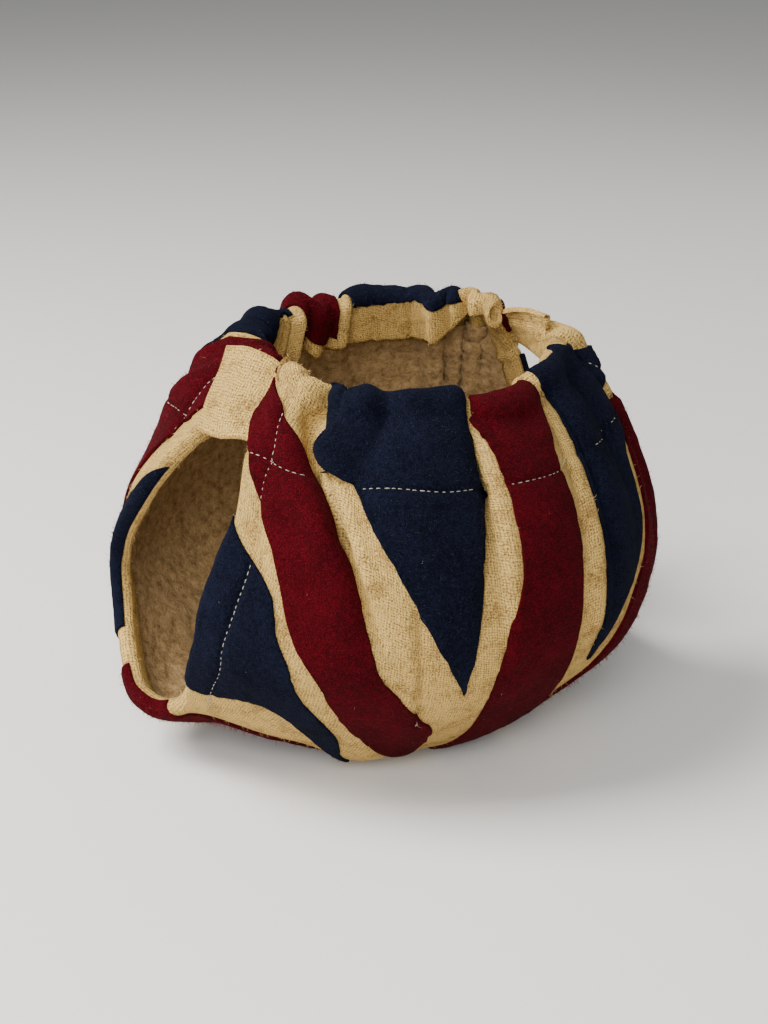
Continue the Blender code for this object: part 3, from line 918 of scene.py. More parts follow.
# %% [markdown]
# ## The fleecy lining
# The lining lies inside the ground cloth and ends inside the hems.  Its pile is thick and soft, so its own
# face is lifted in small tufts, and its edge stands up as a fat round lip beside the hem.

# %% Lining
LINING_ENDS = 184.0
LINING_SIDES = HALF_WIDTH - 1.2
LINING_STEP = 2.2
LINING_NOSE = 2.5
LINING_GAP = 0.2
# The fleece's tufts in two layers, each with its height and its size.
PILE = 0.9
TUFTS = ((0.6, 4.0), (0.4, 2.0))

columns, rows = (spaced(-end, end, LINING_STEP) for end in (LINING_SIDES, LINING_ENDS))
lining_across, row_grid = np.meshgrid(columns, rows)
flat = (lining_across, at_row(lining_across, row_grid))
tufts = PILE * layered(*flat, TUFTS, 11)
lining_middle = -CLOTH / 2 - LINING_GAP - LINING / 2
lining = shell("lining_fleece", *flat, lining_middle, LINING, LINING_NOSE, fleece, 0, tufts)
print(len(lining.data.polygons), "faces in the lining")

# %% [markdown]
# ## Felt patches
# A patch is cut from thick milled wool and sewn on raw.  Its border therefore isn't a hard line: it wanders
# by a fraction of a millimetre and its edge is rounded and stands a little proud.  All the patches come
# from one function, which fills the space between two border lines with rows that are closest together at
# the border.

# %% The layout of the flag
# Half the widths of the two red bands, and how far from the middle the navy and the diagonals begin.
BAND_ACROSS = 15.5
BAND_ACROSS_BORDER = 25.0
BAND_UP = 12.5
BAND_UP_BORDER = 23.5
BAND_PAST_RIM = 6.5
DIAGONAL_CORNER = (105.0, 158.0)
FOLDED_OVER = 3.2
# The borders of each diagonal, as distances from the line between two corners, at places along that line.
# They run from the white border on the flag's end to the white border on its long side.
#     along it  white  red   red  white
CUTS = {
    "near_spout": (
        (0, -17, -4, 7.5, 33),
        (42, -18, -5.5, 7.5, 33),
        (46, -20.5, -9, 7.5, 33),
        (52, -21.5, -12.5, 8, 33),
        (58, -22, -14.3, 9.5, 33),
        (68, -22, -14.7, 13.5, 33),
        (75, -22, -14.3, 11.5, 33),
        (93, -21, -12.8, 10.7, 33),
        (107, -19, -13, 9.5, 33),
        (120, -18.5, -13.7, 11.5, 33),
        (137, -18, -12.5, 14.5, 33),
        (146, -27, -12, 17, 33),
        (157, -30, -12.5, 18, 33),
        (171, -30, -12, 17.5, 33),
        (180, -30, -8, 16, 33),
        (187, -30, -3.5, 13.5, 33),
        (192, -30, -0.5, 10.5, 33),
        (198, -30, 5, 5.6, 33),
    ),
    "near_handle": (
        (0, -29.5, -13.5, 6.5, 18.5),
        (40, -27, -11, 9, 21),
        (80, -16, 0, 20, 32),
        (104, -11, 5, 27, 36),
        (118, -12, 4, 26.5, 34),
        (128, -15, 0.5, 22, 29),
        (138, -16, -1, 21.5, 28.8),
        (147, -17, -2, 25, 33),
        (157, -19, -4, 26, 34),
        (164, -23, -8, 17, 26),
        (171, -28, -12.5, 4, 13),
        (180, -29.5, -13.5, 1, 9),
        (215, -29.5, -13.5, 1, 9),
    ),
    "far_spout": (
        (0, -29.5, -13.5, 6.5, 18.5),
        (115, -29.5, -13.5, 6.5, 18.5),
        (145, -28, -12, 12, 24),
        (158, -27, -8, 24, 34),
        (170, -26, -4, 36, 47),
        (180, -26, -2, 44, 50.5),
        (186, -26, -2, 47, 50),
        (194, -26, -2, 46, 49),
        (199, -26, -2, 41, 44),
        (215, -26, -2, 38, 41),
    ),
    "far_handle": ((0, -18.5, -6.5, 13.5, 29.5), (196, -18.5, -6.5, 13.5, 29.5)),
}
print("borders of the diagonals:", {name: len(rows) for name, rows in CUTS.items()})

# %% [markdown]
# ## Slides and edges
# A few places of the felt are moved on the flat cloth, and the triangles' outer edges are given one by one.

# %% Slides and edges
# The pot doesn't stand quite on the flag's centre, so the felt lies a little off its drawn place.
#   across along  reach across, along  moved across, along
SLIDES = (
    (-45, -45, 40, 45, -13, -24),
    (-76, -30, 18, 13, 0, -10),
    (-66, -34, 13, 10, 0, -4.5),
    (-14, -98, 12, 25, -5, 0),
    (14, -82, 12, 18, 4, 0),
    (-16, -168, 9, 24, 2.5, 0),
    (-22, -168, 7, 24, 6.5, 0),
    (-12, -144, 8, 13, 2.4, 0),
    (12, -178, 8, 20, -4, 0),
)
# How far past the rim the triangles on the long sides go.  Most are turned in over it, and one ends below.
#      across  past the rim
TOP_EDGES = {
    "near_spout": ((24, 8), (40, 7), (60, 8), (72, 6), (80, 9), (105, 9)),
    "near_handle": (
        (24, 6), (45, 6), (58, 5), (63, 6.5), (67, 2.5), (71, 3), (76, 1.5), (82, -1), (88, -1), (94, -2),
        (99, -5), (103, -13), (106, -22),
    ),
    "far_spout": ((24, 7), (40, 8), (52, 10), (60, 15), (66, 10), (75, 8), (105, 8)),
    "far_handle": ((0, 10), (105, 10)),
}
# Where the border of a navy triangle along the band across lies, from the cloth's middle line.  All but one
# of them are straight.
#      across  along
STRAIGHT = ((0, BAND_ACROSS_BORDER), (105, BAND_ACROSS_BORDER))
FOOT_EDGES = {
    "near_spout": ((24, 22), (46, 23), (60, 27), (68, 29.5), (77, 32.5), (85, 31), (91, 29.5), (105, 29.5)),
}
END = HALF_WIDTH + FOLDED_OVER
print(len(SLIDES), "slides, and the felt ends", END, "mm across the cloth")

# %% [markdown]
# ## Cutting a patch
# Each patch gets its points here, its raw wandering border and its small lumps.

# %% Cutting a patch
FELT_STEP = 1.25
FELT_NOSE = 0.9
FELT_TURN_IN = 9.0
# The first points lie this far from a patch's edge, so that the edge rounds over.  The even ones begin
# further in.
EDGE_POINTS = np.array((0, 0.12, 0.35, 0.8))
EVEN_FROM = 1.6
# How far the raw edge wanders.  Its waves and the lumps in the felt's face are layers of height and size.
RAW_WANDER = 0.45
WAVES = ((0.6, 9), (0.7, 2.4))
LUMPS = ((0.15, 5), (0.1, 2))
# Within this distance of the end that is folded over the hem, the edge wanders less and less.
STILL_AT_END = 3
SUNK_IN_CREAM = 0.15


def slid(across, along):
    """Flat places of the felt, moved by the slides."""
    moved_across, moved_along = across, along
    for *where, by_across, by_along in SLIDES:
        weight = hump(across, along, *where)
        moved_across = moved_across + weight * by_across
        moved_along = moved_along + weight * by_along
    return moved_across, moved_along


def bordered(length):
    """Shares from 0 to 1 of a length, dense at both ends, where the felt's edge rounds over."""
    inside = spaced(EVEN_FROM, max(length - EVEN_FROM, EVEN_FROM + 0.1), FELT_STEP)
    return np.unique(np.clip(np.concatenate([EDGE_POINTS, inside, length - EDGE_POINTS]) / length, 0, 1))


def between(start, end):
    """Places from start to end, dense at both."""
    return start + (end - start) * bordered(end - start)


def felt_patch(name, across, along, dye, seed):
    """A felt patch over a grid of flat places."""
    across, along = slid(across, along)
    wander_across, wander_along = (layered(across, along, WAVES, number) for number in (seed, seed + 2))
    across = across + RAW_WANDER * wander_across * np.clip((END - np.abs(across)) / STILL_AT_END, 0, 1)
    along = along + RAW_WANDER * wander_along
    middle = CLOTH / 2 + FELT / 2 - SUNK_IN_CREAM
    flat = (across, along)
    puff = layered(*flat, LUMPS, seed + 4)
    share = np.clip(border_distance(*flat) / FELT_NOSE, 0, 1)
    return shell(name, *flat, middle, FELT, FELT_NOSE, dye, puff * share)


def past_rim(across):
    """How far along the cloth a patch goes when it is turned over the rim."""
    return rim_along(across) + math.pi * ROLL + FELT_TURN_IN


def filled(starts, ends, places, place_is_across=True):
    """A grid between two border lines, which are given at a row of places."""
    starts, ends = np.broadcast_to(starts, places.shape), np.broadcast_to(ends, places.shape)
    other = mixed(starts, ends, bordered(np.abs(ends - starts).max())[:, None])
    place = np.broadcast_to(places, other.shape)
    return (place, other) if place_is_across else (other, place)


print("a length of 5 mm gets", len(bordered(5.0)), "points")

# %% [markdown]
# ## The red cross
# The band across goes from edge to edge, and the band up the cloth is in two pieces that start at its
# sides.

# %% The red cross
BAND_GAP = 0.3

across, along = filled(-BAND_ACROSS, BAND_ACROSS, between(-END, END))
patches = {"band_across": felt_patch("red_band_across", across, along, red, 20)}
for name, side, end in (("band_near", -1, rim_along(0) + BAND_PAST_RIM), ("band_far", 1, past_rim(0))):
    across, along = filled(side * (BAND_ACROSS + BAND_GAP), side * end, between(-BAND_UP, BAND_UP))
    patches[name] = felt_patch("red_" + name, across, along, red, 20)
print("the red cross has", len(patches), "pieces")

# %% [markdown]
# ## The quarters
# Each quarter has a red diagonal with cream on both sides and a navy triangle beyond each.  In a real flag
# of this kind the red diagonal doesn't run down the middle: it is moved to one side, and to the other side
# in the next quarter.  The sizes are distances from the line between two opposite corners.

# %% Diagonals and triangles
# The line between the corners is followed this far, in these steps.  A tip is found to within the last one.
RUN_END = 218
RUN_STEP = 0.5
TIP_STEP = 0.1
# How far into its triangle a bent foot reaches.
FOOT_FADES = 20


def quarter(name, to_handle, to_far, seed):
    """The three felt patches of one quarter."""
    corner = math.hypot(*DIAGONAL_CORNER)
    run_across, run_along = DIAGONAL_CORNER[0] / corner, DIAGONAL_CORNER[1] / corner
    run = np.arange(0, RUN_END, RUN_STEP)
    white_end, red_end, red_side, white_side = (curve(CUTS[name], column, run) for column in (1, 2, 3, 4))

    def beside(off):
        """Flat places at these distances from the line between the corners."""
        return run * run_across - off * run_along, run * run_along + off * run_across

    def cut(title, piece_name, across, along, dye, number):
        patches[title] = felt_patch(piece_name, to_handle * across, to_far * along, dye, number)

    # The red diagonal: long lines from one end to the other, each at its share of the width.
    lines = []
    for share in bordered(float(np.mean(red_side - red_end))):
        across, along = beside(mixed(red_end, red_side, share))
        inside = (across >= BAND_UP_BORDER) & (along >= BAND_ACROSS_BORDER)
        inside &= (across <= END) & (along <= past_rim(across)) & (run <= CUTS[name][-1][0])
        lines.append((across[inside], along[inside]))
    share = bordered(max(len(line[0]) for line in lines) * RUN_STEP)
    across, along = (
        np.stack([np.interp(share, np.linspace(0, 1, len(line[axis])), line[axis]) for line in lines], 1)
        for axis in (0, 1)
    )
    cut("diagonal_" + name, "red_diagonal_" + name, across, along, red, seed)

    # The navy triangle on the long side, from the diagonal's border up to its top edge.
    side_line = beside(white_side)

    def side_limits(places):
        starts = np.maximum(np.interp(places, *side_line), BAND_ACROSS_BORDER)
        return starts, rim_along(places) + curve(TOP_EDGES[name], 1, places)

    places = np.arange(BAND_UP_BORDER, END, TIP_STEP)
    starts, ends = side_limits(places)
    places = between(BAND_UP_BORDER, places[starts < ends].max())
    starts, ends = side_limits(places)
    across, along = filled(starts, np.maximum(ends, starts), places)
    cut("navy_side_" + name, "navy_side_" + name + "_felt", across, along, navy, seed + 10)

    # The navy triangle on the end, from the hem's edge in to the diagonal's border.
    line_across, line_along = beside(white_end)
    places = between(BAND_ACROSS_BORDER, line_along[line_across < END].max())
    starts = np.maximum(np.interp(places, line_along, line_across), BAND_UP_BORDER)
    across, along = filled(np.minimum(starts, END), END, places, False)
    foot = curve(FOOT_EDGES.get(name, STRAIGHT), 1, across) - BAND_ACROSS_BORDER
    along = along + foot * (1 - smooth(along, BAND_ACROSS_BORDER, BAND_ACROSS_BORDER + FOOT_FADES))
    cut("navy_end_" + name, "navy_end_" + name + "_felt", across, along, navy, seed + 20)


for number, (name, to_handle, to_far) in enumerate((
    ("near_spout", -1, -1), ("near_handle", 1, -1), ("far_spout", -1, 1), ("far_handle", 1, 1),
)):
    quarter(name, to_handle, to_far, 40 + 40 * number)
print(len(patches), "felt patches,", sum(len(p.data.polygons) for p in patches.values()), "faces")

# %% [markdown]
# ## The tabs
# A tab is a short strip of the cream wool, folded double, that closes the cosy over the spout or the
# handle.  The spout's tab laps over the near panel's corner, and the handle's tab is tucked inside it.
# Each tab is a grid between two curves in the room, its top and its foot, which run through the stations
# below.

# %% Tabs
TAB_CLOTH = 2.3
TAB_NOSE = 1.1
# How far from the middle of the cloth the tabs' ends are sewn: in between the hem's layers, or on top.
SEWN_IN = -1.6
SEWN_ON = 0.1
#   share of its length, place of the top, place of the foot
TAB_STATIONS = {
    "tab_spout": (
        (0.0, lay(-97, -162, SEWN_IN / 4), lay(-97, -134, SEWN_IN / 4)),
        (0.24, lay(-105.6, -167, SEWN_ON), lay(-105.6, -135, SEWN_ON)),
        (0.6, (-43.0, 1.0, 131.4), (-61.6, -9.5, 109.0)),
        (1.0, (-48.6, 9.5, 131.2), (-63.4, 1.5, 108.6)),
    ),
    "tab_handle": (
        (0.0, lay(97, 164, SEWN_IN), lay(97, 139, SEWN_IN)),
        (0.18, lay(104, 163.5, SEWN_IN / 2), lay(104, 139.5, SEWN_IN / 2)),
        (0.62, (57.5, 3.5, 129.0), (64.5, 3.0, 111.0)),
        (1.0, (55.8, -11.5, 131.2), (58.5, -12.5, 113.0)),
    ),
}
TAB_SIZES = {"tab_spout": (31.0, 27.0), "tab_handle": (44.0, 19.0)}
print("tabs:", TAB_SIZES)

# %% [markdown]
# ## Making the tabs
# Between its top and its foot a tab swells out a little and hangs a little slack.  Its own function takes the
# place of `lay`, and the rest is a shell like any other.

# %% Making the tabs
# Roughly the way out of the cosy at each tab, and a short step that finds it exactly.
OUTSIDE = {"tab_spout": (-1.0, -0.25, 0.3), "tab_handle": (1.0, -0.25, 0.3)}
PROBE = 0.5
TAB_SWELL = 0.8
TAB_SLACK = 0.5
TAB_LUMP = 0.2
# Rows of stitches draw grooves along each tab, much weaker ones on the spout's.
GROOVE_DEPTH, GROOVE_WIDTH = 0.45, 0.5
GROOVE_ROWS = (2.6, 5.6)
SPOUT_GROOVE = 0.35
# The handle's tab is folded over along its top.  Where it is sewn between the hem's layers it is pressed
# flat.
TAB_FOLD = (5.5, 6.7)
PRESSED = 0.85
PRESSED_TO = (7.0, 13.0)


def tab_surface(name):
    """A function like `lay` for one tab, from lengths along it and down it to places in the room."""
    length, depth = TAB_SIZES[name]
    tops = [(share, *top) for share, top, foot in TAB_STATIONS[name]]
    feet = [(share, *foot) for share, top, foot in TAB_STATIONS[name]]
    outside = np.array(OUTSIDE[name])

    def middle(along_it, down_it):
        run, share = along_it / length, (down_it / depth)[..., None]
        top, foot = (np.stack([curve(rows, axis, run) for axis in (1, 2, 3)], -1) for rows in (tops, feet))
        swell = np.sin(math.pi * np.clip(share, 0, 1)) * np.sin(math.pi * np.clip(run, 0, 1))[..., None]
        slack = TAB_SLACK * uneven(along_it, down_it, 9, 7)[..., None]
        return mixed(top, foot, share) + outside * (TAB_SWELL * swell + slack)

    def surface(along_it, down_it, lift):
        along_it, down_it, lift = as_grids(along_it, down_it, lift)
        place = middle(along_it, down_it)
        out = np.cross(middle(along_it + PROBE, down_it) - place, middle(along_it, down_it + PROBE) - place)
        out = unit(out)
        out *= np.sign((out * outside).sum(-1, keepdims=True))
        return place + out * lift[..., None]

    return surface


tabs = {}
for name, (length, depth) in TAB_SIZES.items():
    along_it, down_it = np.meshgrid(length * bordered(length), depth * bordered(depth))
    rows = (*GROOVE_ROWS, depth - GROOVE_ROWS[0])
    grooves = sum(np.exp(-(((down_it - row) / GROOVE_WIDTH) ** 2)) for row in rows)
    puff = TAB_LUMP * uneven(along_it, down_it, 3.0, 9)
    if name == "tab_spout":
        puff = puff - GROOVE_DEPTH * SPOUT_GROOVE * grooves
    else:
        puff = puff - GROOVE_DEPTH * grooves + 1 - smooth(down_it, *TAB_FOLD)
        puff = mixed(puff, -PRESSED, 1 - smooth(along_it, *PRESSED_TO))
        # This tab runs the other way round the pot, so its rows are turned round to face out.
        along_it, down_it, puff = along_it[::-1], down_it[::-1], puff[::-1]
    surface = tab_surface(name)
    tabs[name] = shell(name + "_wool", along_it, down_it, 0, TAB_CLOTH, TAB_NOSE, cream, puff, -puff, surface)
print("faces:", {name: len(tab.data.polygons) for name, tab in tabs.items()})

# %% [markdown]
# ## Finding the top of the cloth
# Stitches and fluff sit on whatever is on top at a flat place: felt, cream, or a patch's edge.  A search
# tree over all the sheets answers that.  From above each flat place it looks straight in and stops at the
# first skin.

# %% The top skin
# The search starts this far above the cloth's middle, and goes this far past it.
LOOK_FROM = 7.0
LOOK_PAST = 2.0


def tree_of(pieces):
    """One search tree, in millimetres, over several pieces."""
    verts, faces = [], []
    for piece in pieces:
        start = len(verts)
        verts += [vert.co / MM for vert in piece.data.vertices]
        faces += [[start + i for i in face.vertices] for face in piece.data.polygons]
    return BVHTree.FromPolygons(verts, faces)


skin = tree_of([*patches.values(), ground, *tabs.values()])
felt_skin = tree_of(patches.values())
FELT_FACES = sum(len(patch.data.polygons) for patch in patches.values())


def on_top(across, along):
    """The place of the top skin at one flat place, the outward direction and the number of the face found."""
    high, low = lay(across, along, LOOK_FROM), lay(across, along, 0.0)
    away = Vector(low - high)
    found = skin.ray_cast(Vector(high), away.normalized(), away.length + LOOK_PAST)
    if found[0] is None:
        return lay(across, along, CLOTH / 2), -np.array(away.normalized()), FELT_FACES
    return np.array(found[0]), -np.array(away.normalized()), found[2]


def along_top(across, along):
    """The same for a row of flat places: their skin places, their directions and their face numbers."""
    return (np.array(column) for column in zip(*map(on_top, across, along)))


print("the skin over the flag's near centre is at", on_top(0.0, -150.0)[0].round(1))

# %% [markdown]
# ## Stitches
# A running stitch of pale thread holds the drawstring's casing below each rim, and another holds each hem.
# Each stitch is a short round rod that bows out of the cloth and dives in again at both ends.

# %% Rods of thread
ROD_SIDES = 6


def rod(points, outs, radii):
    """Places and faces of a closed round rod through some points."""
    points, outs = np.asarray(points, float), np.asarray(outs, float)
    way = unit(np.gradient(points, axis=0))
    side = unit(np.cross(way, outs))
    up = np.cross(side, way)
    turn = np.linspace(0, 2 * math.pi, ROD_SIDES, endpoint=False)[None, :, None]
    ring = np.cos(turn) * side[:, None] + np.sin(turn) * up[:, None]
    verts = (points[:, None] + ring * np.asarray(radii)[:, None, None]).reshape(-1, 3)
    faces = []
    for i in range(len(points) - 1):
        for j in range(ROD_SIDES):
            k = (j + 1) % ROD_SIDES
            a, b = i * ROD_SIDES, (i + 1) * ROD_SIDES
            faces.append((a + j, a + k, b + k, b + j))
    last = len(verts) - ROD_SIDES
    faces.append(tuple(range(ROD_SIDES))[::-1])
    faces.append(tuple(last + j for j in range(ROD_SIDES)))
    return verts, faces


def gathered_mesh(name, parts, material):
    """One object from many small meshes."""
    verts, faces, start = [], [], 0
    for part_verts, part_faces in parts:
        verts.append(part_verts)
        faces += [tuple(start + i for i in face) for face in part_faces]
        start += len(part_verts)
    return mesh_object(name, np.concatenate(verts), faces, material)


print("a rod has", ROD_SIDES, "sides")

# %% [markdown]
# ## Sewing
# The stitches are laid one after another along a line.  Each is a little longer or shorter than the last, and
# follows the top skin, so it rides over the edge of a patch.

# %% Stitches
STITCH = 1.45
STITCH_PITCH = 2.05
FIRST_STITCH = 0.5
# How uneven the stitches are: their lengths, the steps between them, and how far they stray from the line.
LENGTHS, STEPS, STRAY = (0.7, 1.15), (0.88, 1.12), 0.12
THREAD_RADIUS = 0.12
STITCH_RINGS = 7
# How deep a stitch starts under the skin, how much deeper in the cream's pile, and how high it bows.  A
# smaller power makes the bow flatter on top, and a stitch is a little thinner at its ends.
DIVE = 0.3
SUNK_IN_PILE = 0.4
BOW, BOW_POWER = (0.34, 0.44), 0.6
THIN_AT_ENDS = 0.75
# A stitch that would jump over a step in the skin is left out.
LONGEST_STEP = 0.42
# Across the near side the gathers swallow the casing's thread here.
BURIED_NEAR = ((-64, -60.2), (11, 18), (66, 103))
# The casing's stitches end this far across, and the hem's run from here to short of the rim.
CASING_ENDS = 103
HEM_FROM, HEM_SHORT, HEM_ACROSS = 34, 8, 95
CASING_POINTS, HEM_POINTS = 400, 300


def stitch_line(across, along, seed, buried=()):
    """Stitches along a line on the flat cloth, which is given by many close points.

    `buried` lists the stretches, across the cloth, where the gathers swallow the thread.
    """
    random = np.random.RandomState(seed)
    places = lay(across, along, 0)
    walked = np.concatenate([[0], np.cumsum(np.linalg.norm(np.diff(places, axis=0), axis=1))])
    stitches = []
    start = FIRST_STITCH
    while start + STITCH < walked[-1]:
        length = STITCH * random.uniform(*LENGTHS)
        steps = start + length * np.linspace(0, 1, STITCH_RINGS)
        stray = random.uniform(-STRAY, STRAY)
        run = np.interp(steps, walked, across)
        points, outs, faces = along_top(run + stray, np.interp(steps, walked, along))
        start += STITCH_PITCH * random.uniform(*STEPS)
        hidden = any(low < run[0] < high for low, high in buried)
        if hidden or max(np.linalg.norm(np.diff(points, axis=0), axis=1)) > LONGEST_STEP:
            continue
        sunk = SUNK_IN_PILE if faces.min() >= FELT_FACES else 0.0
        bow = np.sin(math.pi * np.linspace(0, 1, STITCH_RINGS))
        rise = random.uniform(*BOW)
        points = points + outs * (-DIVE - sunk + rise * bow**BOW_POWER)[:, None]
        stitches.append(rod(points, outs, THREAD_RADIUS * mixed(THIN_AT_ENDS, 1, bow)))
    return stitches


stitches = []
line = np.linspace(-CASING_ENDS, CASING_ENDS, CASING_POINTS)
for side, buried in ((-1, BURIED_NEAR), (1, ())):
    stitches += stitch_line(line, side * casing_line(line), 5 + side, buried)
line = np.linspace(HEM_FROM, rim_along(HEM_ACROSS) - HEM_SHORT, HEM_POINTS)
for side_across in (-1, 1):
    for side_along in (-1, 1):
        seed = 11 + side_across + 3 * side_along
        stitches += stitch_line(side_across * hem_line(line), side_along * line, seed)
stitching = gathered_mesh("stitches", stitches, thread)
print(len(stitches), "stitches")

# %% [markdown]
# ## Loose ends
# Where a line of stitches ends, the thread is snipped off and its plies spread into a little tuft.

# %% Loose thread ends
#    across along  plies  length  way (across, along)
LOOSE_ENDS = (
    (-42, -81, 4, 3.4, (0.1, -1.0)),
    (11, -171, 4, 4.0, (0.6, -0.8)),
    (-97, -36, 3, 5.0, (0.5, 1.0)),
    (97, -36, 3, 5.0, (-0.5, 1.0)),
    (96, 36, 3, 5.0, (-0.5, -1.0)),
)
PLY_RINGS = 8
PLY_RADIUS = 0.09
PLY_TIP = 0.1
# How far the plies spread and bend, in radians, and how unevenly long they are.
SPREAD, PLY_BEND = 0.6, 0.9
PLY_LENGTHS = (0.6, 1.1)
# They start this high over the skin, and rise by an amount between these two on their way.
PLY_START, PLY_RISES = 0.1, (0.1, 0.9)
PLY_ARCH = 0.8 * math.pi


def loose_end(across, along, plies, length, way, seed):
    """A tuft of thin curved plies that lie on the skin."""
    random = np.random.RandomState(seed)
    parts = []
    for _ in range(plies):
        share = np.linspace(0, 1, PLY_RINGS)
        bend = random.uniform(-PLY_BEND, PLY_BEND)
        reach = length * random.uniform(*PLY_LENGTHS) * share
        heading = math.atan2(way[1], way[0]) + random.uniform(-SPREAD, SPREAD) + bend * share
        points, outs, _ = along_top(across + reach * np.cos(heading), along + reach * np.sin(heading))
        lift = PLY_START + random.uniform(*PLY_RISES) * np.sin(PLY_ARCH * share)
        parts.append(rod(points + outs * lift[:, None], outs, PLY_RADIUS * (1 + PLY_TIP - share)))
    return parts


ends = []
for number, (across, along, plies, length, way) in enumerate(LOOSE_ENDS):
    ends += loose_end(across, along, plies, length, way, 70 + number)
thread_ends = gathered_mesh("thread_ends", ends, thread)
print(len(ends), "loose plies")

# %% [markdown]
# ## Fluff
# Milled wool is covered in short fibres that no weave holds down.  They soften every outline, most of all
# along a raw edge.  Each fibre is a thin curved spike with three sides and a closed foot, rooted just under
# the skin.

# %% Where the fibres grow
# Felt lies over a place if a look outward from just under the skin meets it within this distance.
FELT_COVER = 3.0
LOOK_UNDER = 0.3
# A border triangle's area is less than this share of the square on its longest side.
SLIM = 0.45


def skin_points(pieces, count, random, edge_share):
    """Random places on some sheets, with the skin's outward direction there."""
    corners, weights = [], []
    for piece in pieces:
        mesh = piece.data
        mesh.calc_loop_triangles()
        co = np.zeros(len(mesh.vertices) * 3)
        mesh.vertices.foreach_get("co", co)
        index = np.zeros(len(mesh.loop_triangles) * 3, int)
        mesh.loop_triangles.foreach_get("vertices", index)
        triangles = co.reshape(-1, 3)[index.reshape(-1, 3)] / MM
        first, second = triangles[:, 1] - triangles[:, 0], triangles[:, 2] - triangles[:, 0]
        area = np.linalg.norm(np.cross(first, second), axis=1)
        # The slim triangles of a sheet lie along its border.
        longest = np.linalg.norm(triangles - np.roll(triangles, 1, axis=1), axis=2).max(axis=1)
        corners.append(triangles)
        weights.append(area * np.where(area / (longest**2 + 1e-9) < SLIM, edge_share, 1.0))
    corners, weights = np.concatenate(corners), np.concatenate(weights)
    chosen = corners[random.choice(len(corners), count, p=weights / weights.sum())]
    u, v = random.uniform(0, 1, (2, count, 1))
    u, v = np.where(u + v > 1, 1 - u, u), np.where(u + v > 1, 1 - v, v)
    first, second = chosen[:, 1] - chosen[:, 0], chosen[:, 2] - chosen[:, 0]
    return chosen[:, 0] + u * first + v * second, unit(np.cross(first, second))


def bare_places(places, out, count):
    """The first places, up to this count, that no felt covers."""
    found = []
    for place, away in zip(places, out):
        if felt_skin.ray_cast(Vector(place - away * LOOK_UNDER), Vector(away), FELT_COVER)[0] is None:
            found.append((place, away))
    return map(np.array, zip(*found[:count]))


print("no cream fibre grows under the", FELT_FACES, "faces of the felt")

# %% [markdown]
# ## Growing the fibres
# A fibre has a ring of places at its foot, another at its bend and one place at its tip.  It sets out near
# the outward direction and turns aside at its bend.

# %% Growing the fibres
# Fibres are rooted this deep in the skin, and bend this much on their way.
ROOT = 0.12
BEND = 0.55
# How unevenly they lie down, how unevenly long they are, and how much of their thickness is left at the bend.
# A larger power makes more of them short.
LIES = (0.3, 1.5)
REACHES, REACH_POWER = (0.35, 1.0), 1.5
THIN_AT_BEND = 0.75
# No fibre goes lower than this over the floor.
FIBRE_CLEAR = 0.3
# The faces between a fibre's foot ring (0 to 2), its bend ring (3 to 5) and its tip (6).
FIBRE_FACES = (
    (0, 2, 1), (0, 1, 4), (0, 4, 3), (1, 2, 5), (1, 5, 4),
    (2, 0, 3), (2, 3, 5), (3, 4, 6), (4, 5, 6), (5, 3, 6),
)


def fluff(name, pieces, count, length, thickness, material, edge_share, lie, seed, bare_only):
    """Short curved fibres over some sheets.

    `edge_share` is how much more of them grow along a border, and `lie` how strongly they lie down along the
    skin.
    """
    random = np.random.RandomState(seed)
    places, out = skin_points(pieces, count * (3 if bare_only else 1), random, edge_share)
    if bare_only:
        places, out = bare_places(places, out, count)
        count = len(places)
    along_skin = random.normal(0, 1, (count, 3))
    along_skin = unit(along_skin - out * (along_skin * out).sum(1, keepdims=True))
    first = unit(out + along_skin * lie * random.uniform(*LIES, (count, 1)))
    second = unit(first + random.normal(0, BEND, (count, 3)))
    reach = length * random.uniform(*REACHES, (count, 1)) ** REACH_POWER
    foot = places - out * ROOT
    bend = foot + first * reach * 0.5
    tip = bend + second * reach * 0.5
    lift = np.maximum(FIBRE_CLEAR - np.minimum(tip[:, 2], bend[:, 2]), 0)
    tip[:, 2] += lift
    bend[:, 2] += lift
    side = unit(np.cross(first, np.where(np.abs(first[:, 2:]) < 0.9, (0, 0, 1.0), (1.0, 0, 0))))
    other = np.cross(first, side)
    rings = []
    for centre, radius in ((foot, thickness), (bend, thickness * THIN_AT_BEND)):
        for turn in np.radians((0, 120, 240)):
            rings.append(centre + (math.cos(turn) * side + math.sin(turn) * other) * radius / 2)
    verts = np.stack([*rings, tip], 1).reshape(-1, 3)
    start = np.arange(count)[:, None, None] * 7
    faces = (start + np.array(FIBRE_FACES)).reshape(-1, 3)
    return mesh_object(name, verts, faces.tolist(), material)


red_patches = [patch for title, patch in patches.items() if not title.startswith("navy")]
navy_patches = [patch for title, patch in patches.items() if title.startswith("navy")]
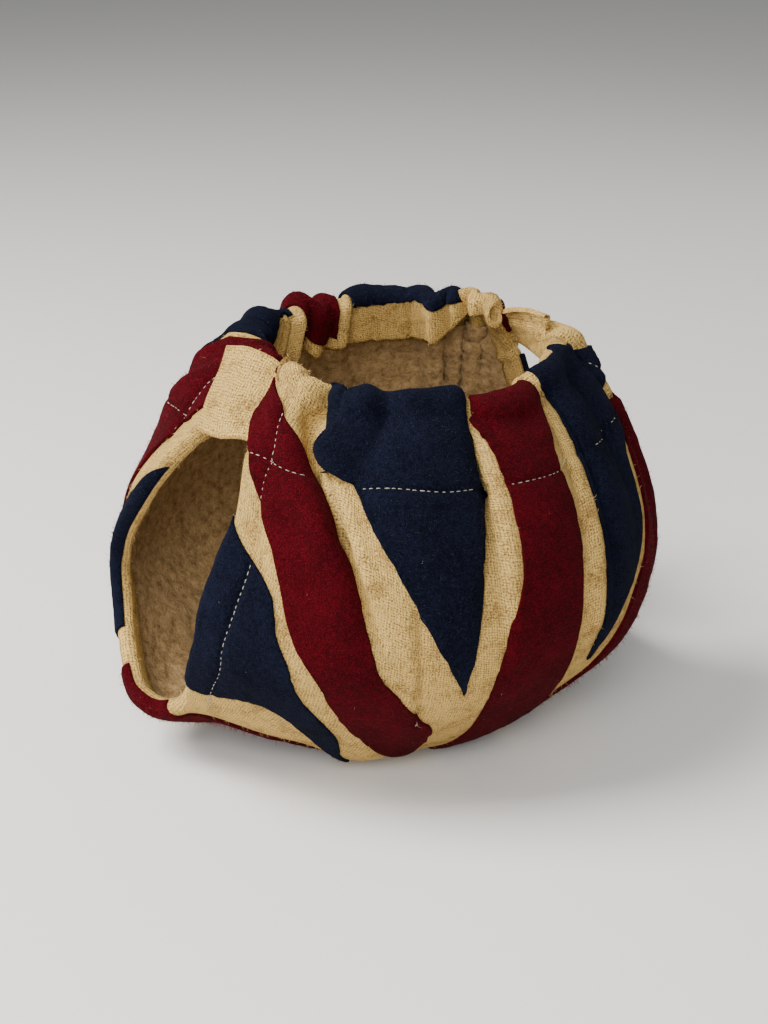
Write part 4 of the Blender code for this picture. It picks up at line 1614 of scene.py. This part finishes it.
#    name  sheets  count  length  thickness  fibres  edge share  lie  finish
FLUFF = (
    ("fluff_red", red_patches, 13000, 2.6, 0.14, red_fibres, 6.0, 1.2, "red_felt"),
    ("fluff_navy", navy_patches, 13000, 2.6, 0.14, navy_fibres, 6.0, 1.2, "navy_felt"),
    ("fluff_cream", [ground, *tabs.values()], 13500, 2.4, 0.14, cream_fibres, 1.0, 1.2, "cream_wool"),
    ("lint", [*red_patches, *navy_patches], 150, 2.0, 0.08, thread, 1.0, 3.0, "cream_wool"),
)
fluffs = {}
for number, (name, *row, finish) in enumerate(FLUFF):
    # Cream fibres grow only where no felt covers the ground cloth.
    fluffs[name] = (fluff(name, *row, 91 + number, name == "fluff_cream"), finish)
print("fibres:", {name: len(piece.data.polygons) // len(FIBRE_FACES) for name, (piece, _) in fluffs.items()})

# %% [markdown]
# ## Seating and size
# Every piece rides on the cosy's one body, and each sheet stands for its solid.  The size that each sheet
# was cut to is also printed.  The flag's patches lie on the ground cloth, and the ground cloth hangs on the
# shape of the pot.

# %% Seating and size
def seat(piece, finish, *nodes):
    """Puts a piece on the body, in place of its solids."""
    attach(piece, "root")
    if nodes:
        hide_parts(*nodes)


def flat_size(piece):
    """The width and length of the smallest oblong that a sheet is cut from, and its area, in metres."""
    uvs = np.zeros(len(piece.data.loops) * 2)
    piece.data.uv_layers["flat"].data.foreach_get("uv", uvs)
    uvs = uvs.reshape(-1, 2)
    area = 0.0
    for face in piece.data.polygons:
        points = uvs[face.loop_start: face.loop_start + face.loop_total]
        x, y = points[:, 0], points[:, 1]
        area += abs(float(x @ np.roll(y, -1) - y @ np.roll(x, -1))) / 2
    sizes = []
    for turn in np.radians(np.arange(0, 90, 3)):
        turned = uvs @ np.array(((math.cos(turn), -math.sin(turn)), (math.sin(turn), math.cos(turn))))
        sizes.append(tuple(float(x) for x in np.ptp(turned, axis=0)))
    width, length = min(sizes, key=lambda size: size[0] * size[1])
    return min(width, length), max(width, length), area / 2


def declare(piece):
    """Prints a sheet's flat size, and how much of that oblong is cloth."""
    width, length, area = flat_size(piece)
    share = area / (width * length)
    print("%-28s %5.1f x %5.1f mm, %3.0f%% of it cloth" % (piece.name, width / MM, length / MM, 100 * share))


seat(ground, "cream_wool", "cloth")
seat(lining, "fleece", "lining")
for title, piece in patches.items():
    seat(piece, "navy_felt" if title.startswith("navy") else "red_felt", title)
for title, piece in tabs.items():
    seat(piece, "cream_wool", title)
seat(stitching, "cream_wool")
seat(thread_ends, "cream_wool")
for piece, finish in fluffs.values():
    seat(piece, finish)

declare(ground)
declare(lining)
for piece in patches.values():
    declare(piece)
for piece in tabs.values():
    declare(piece)
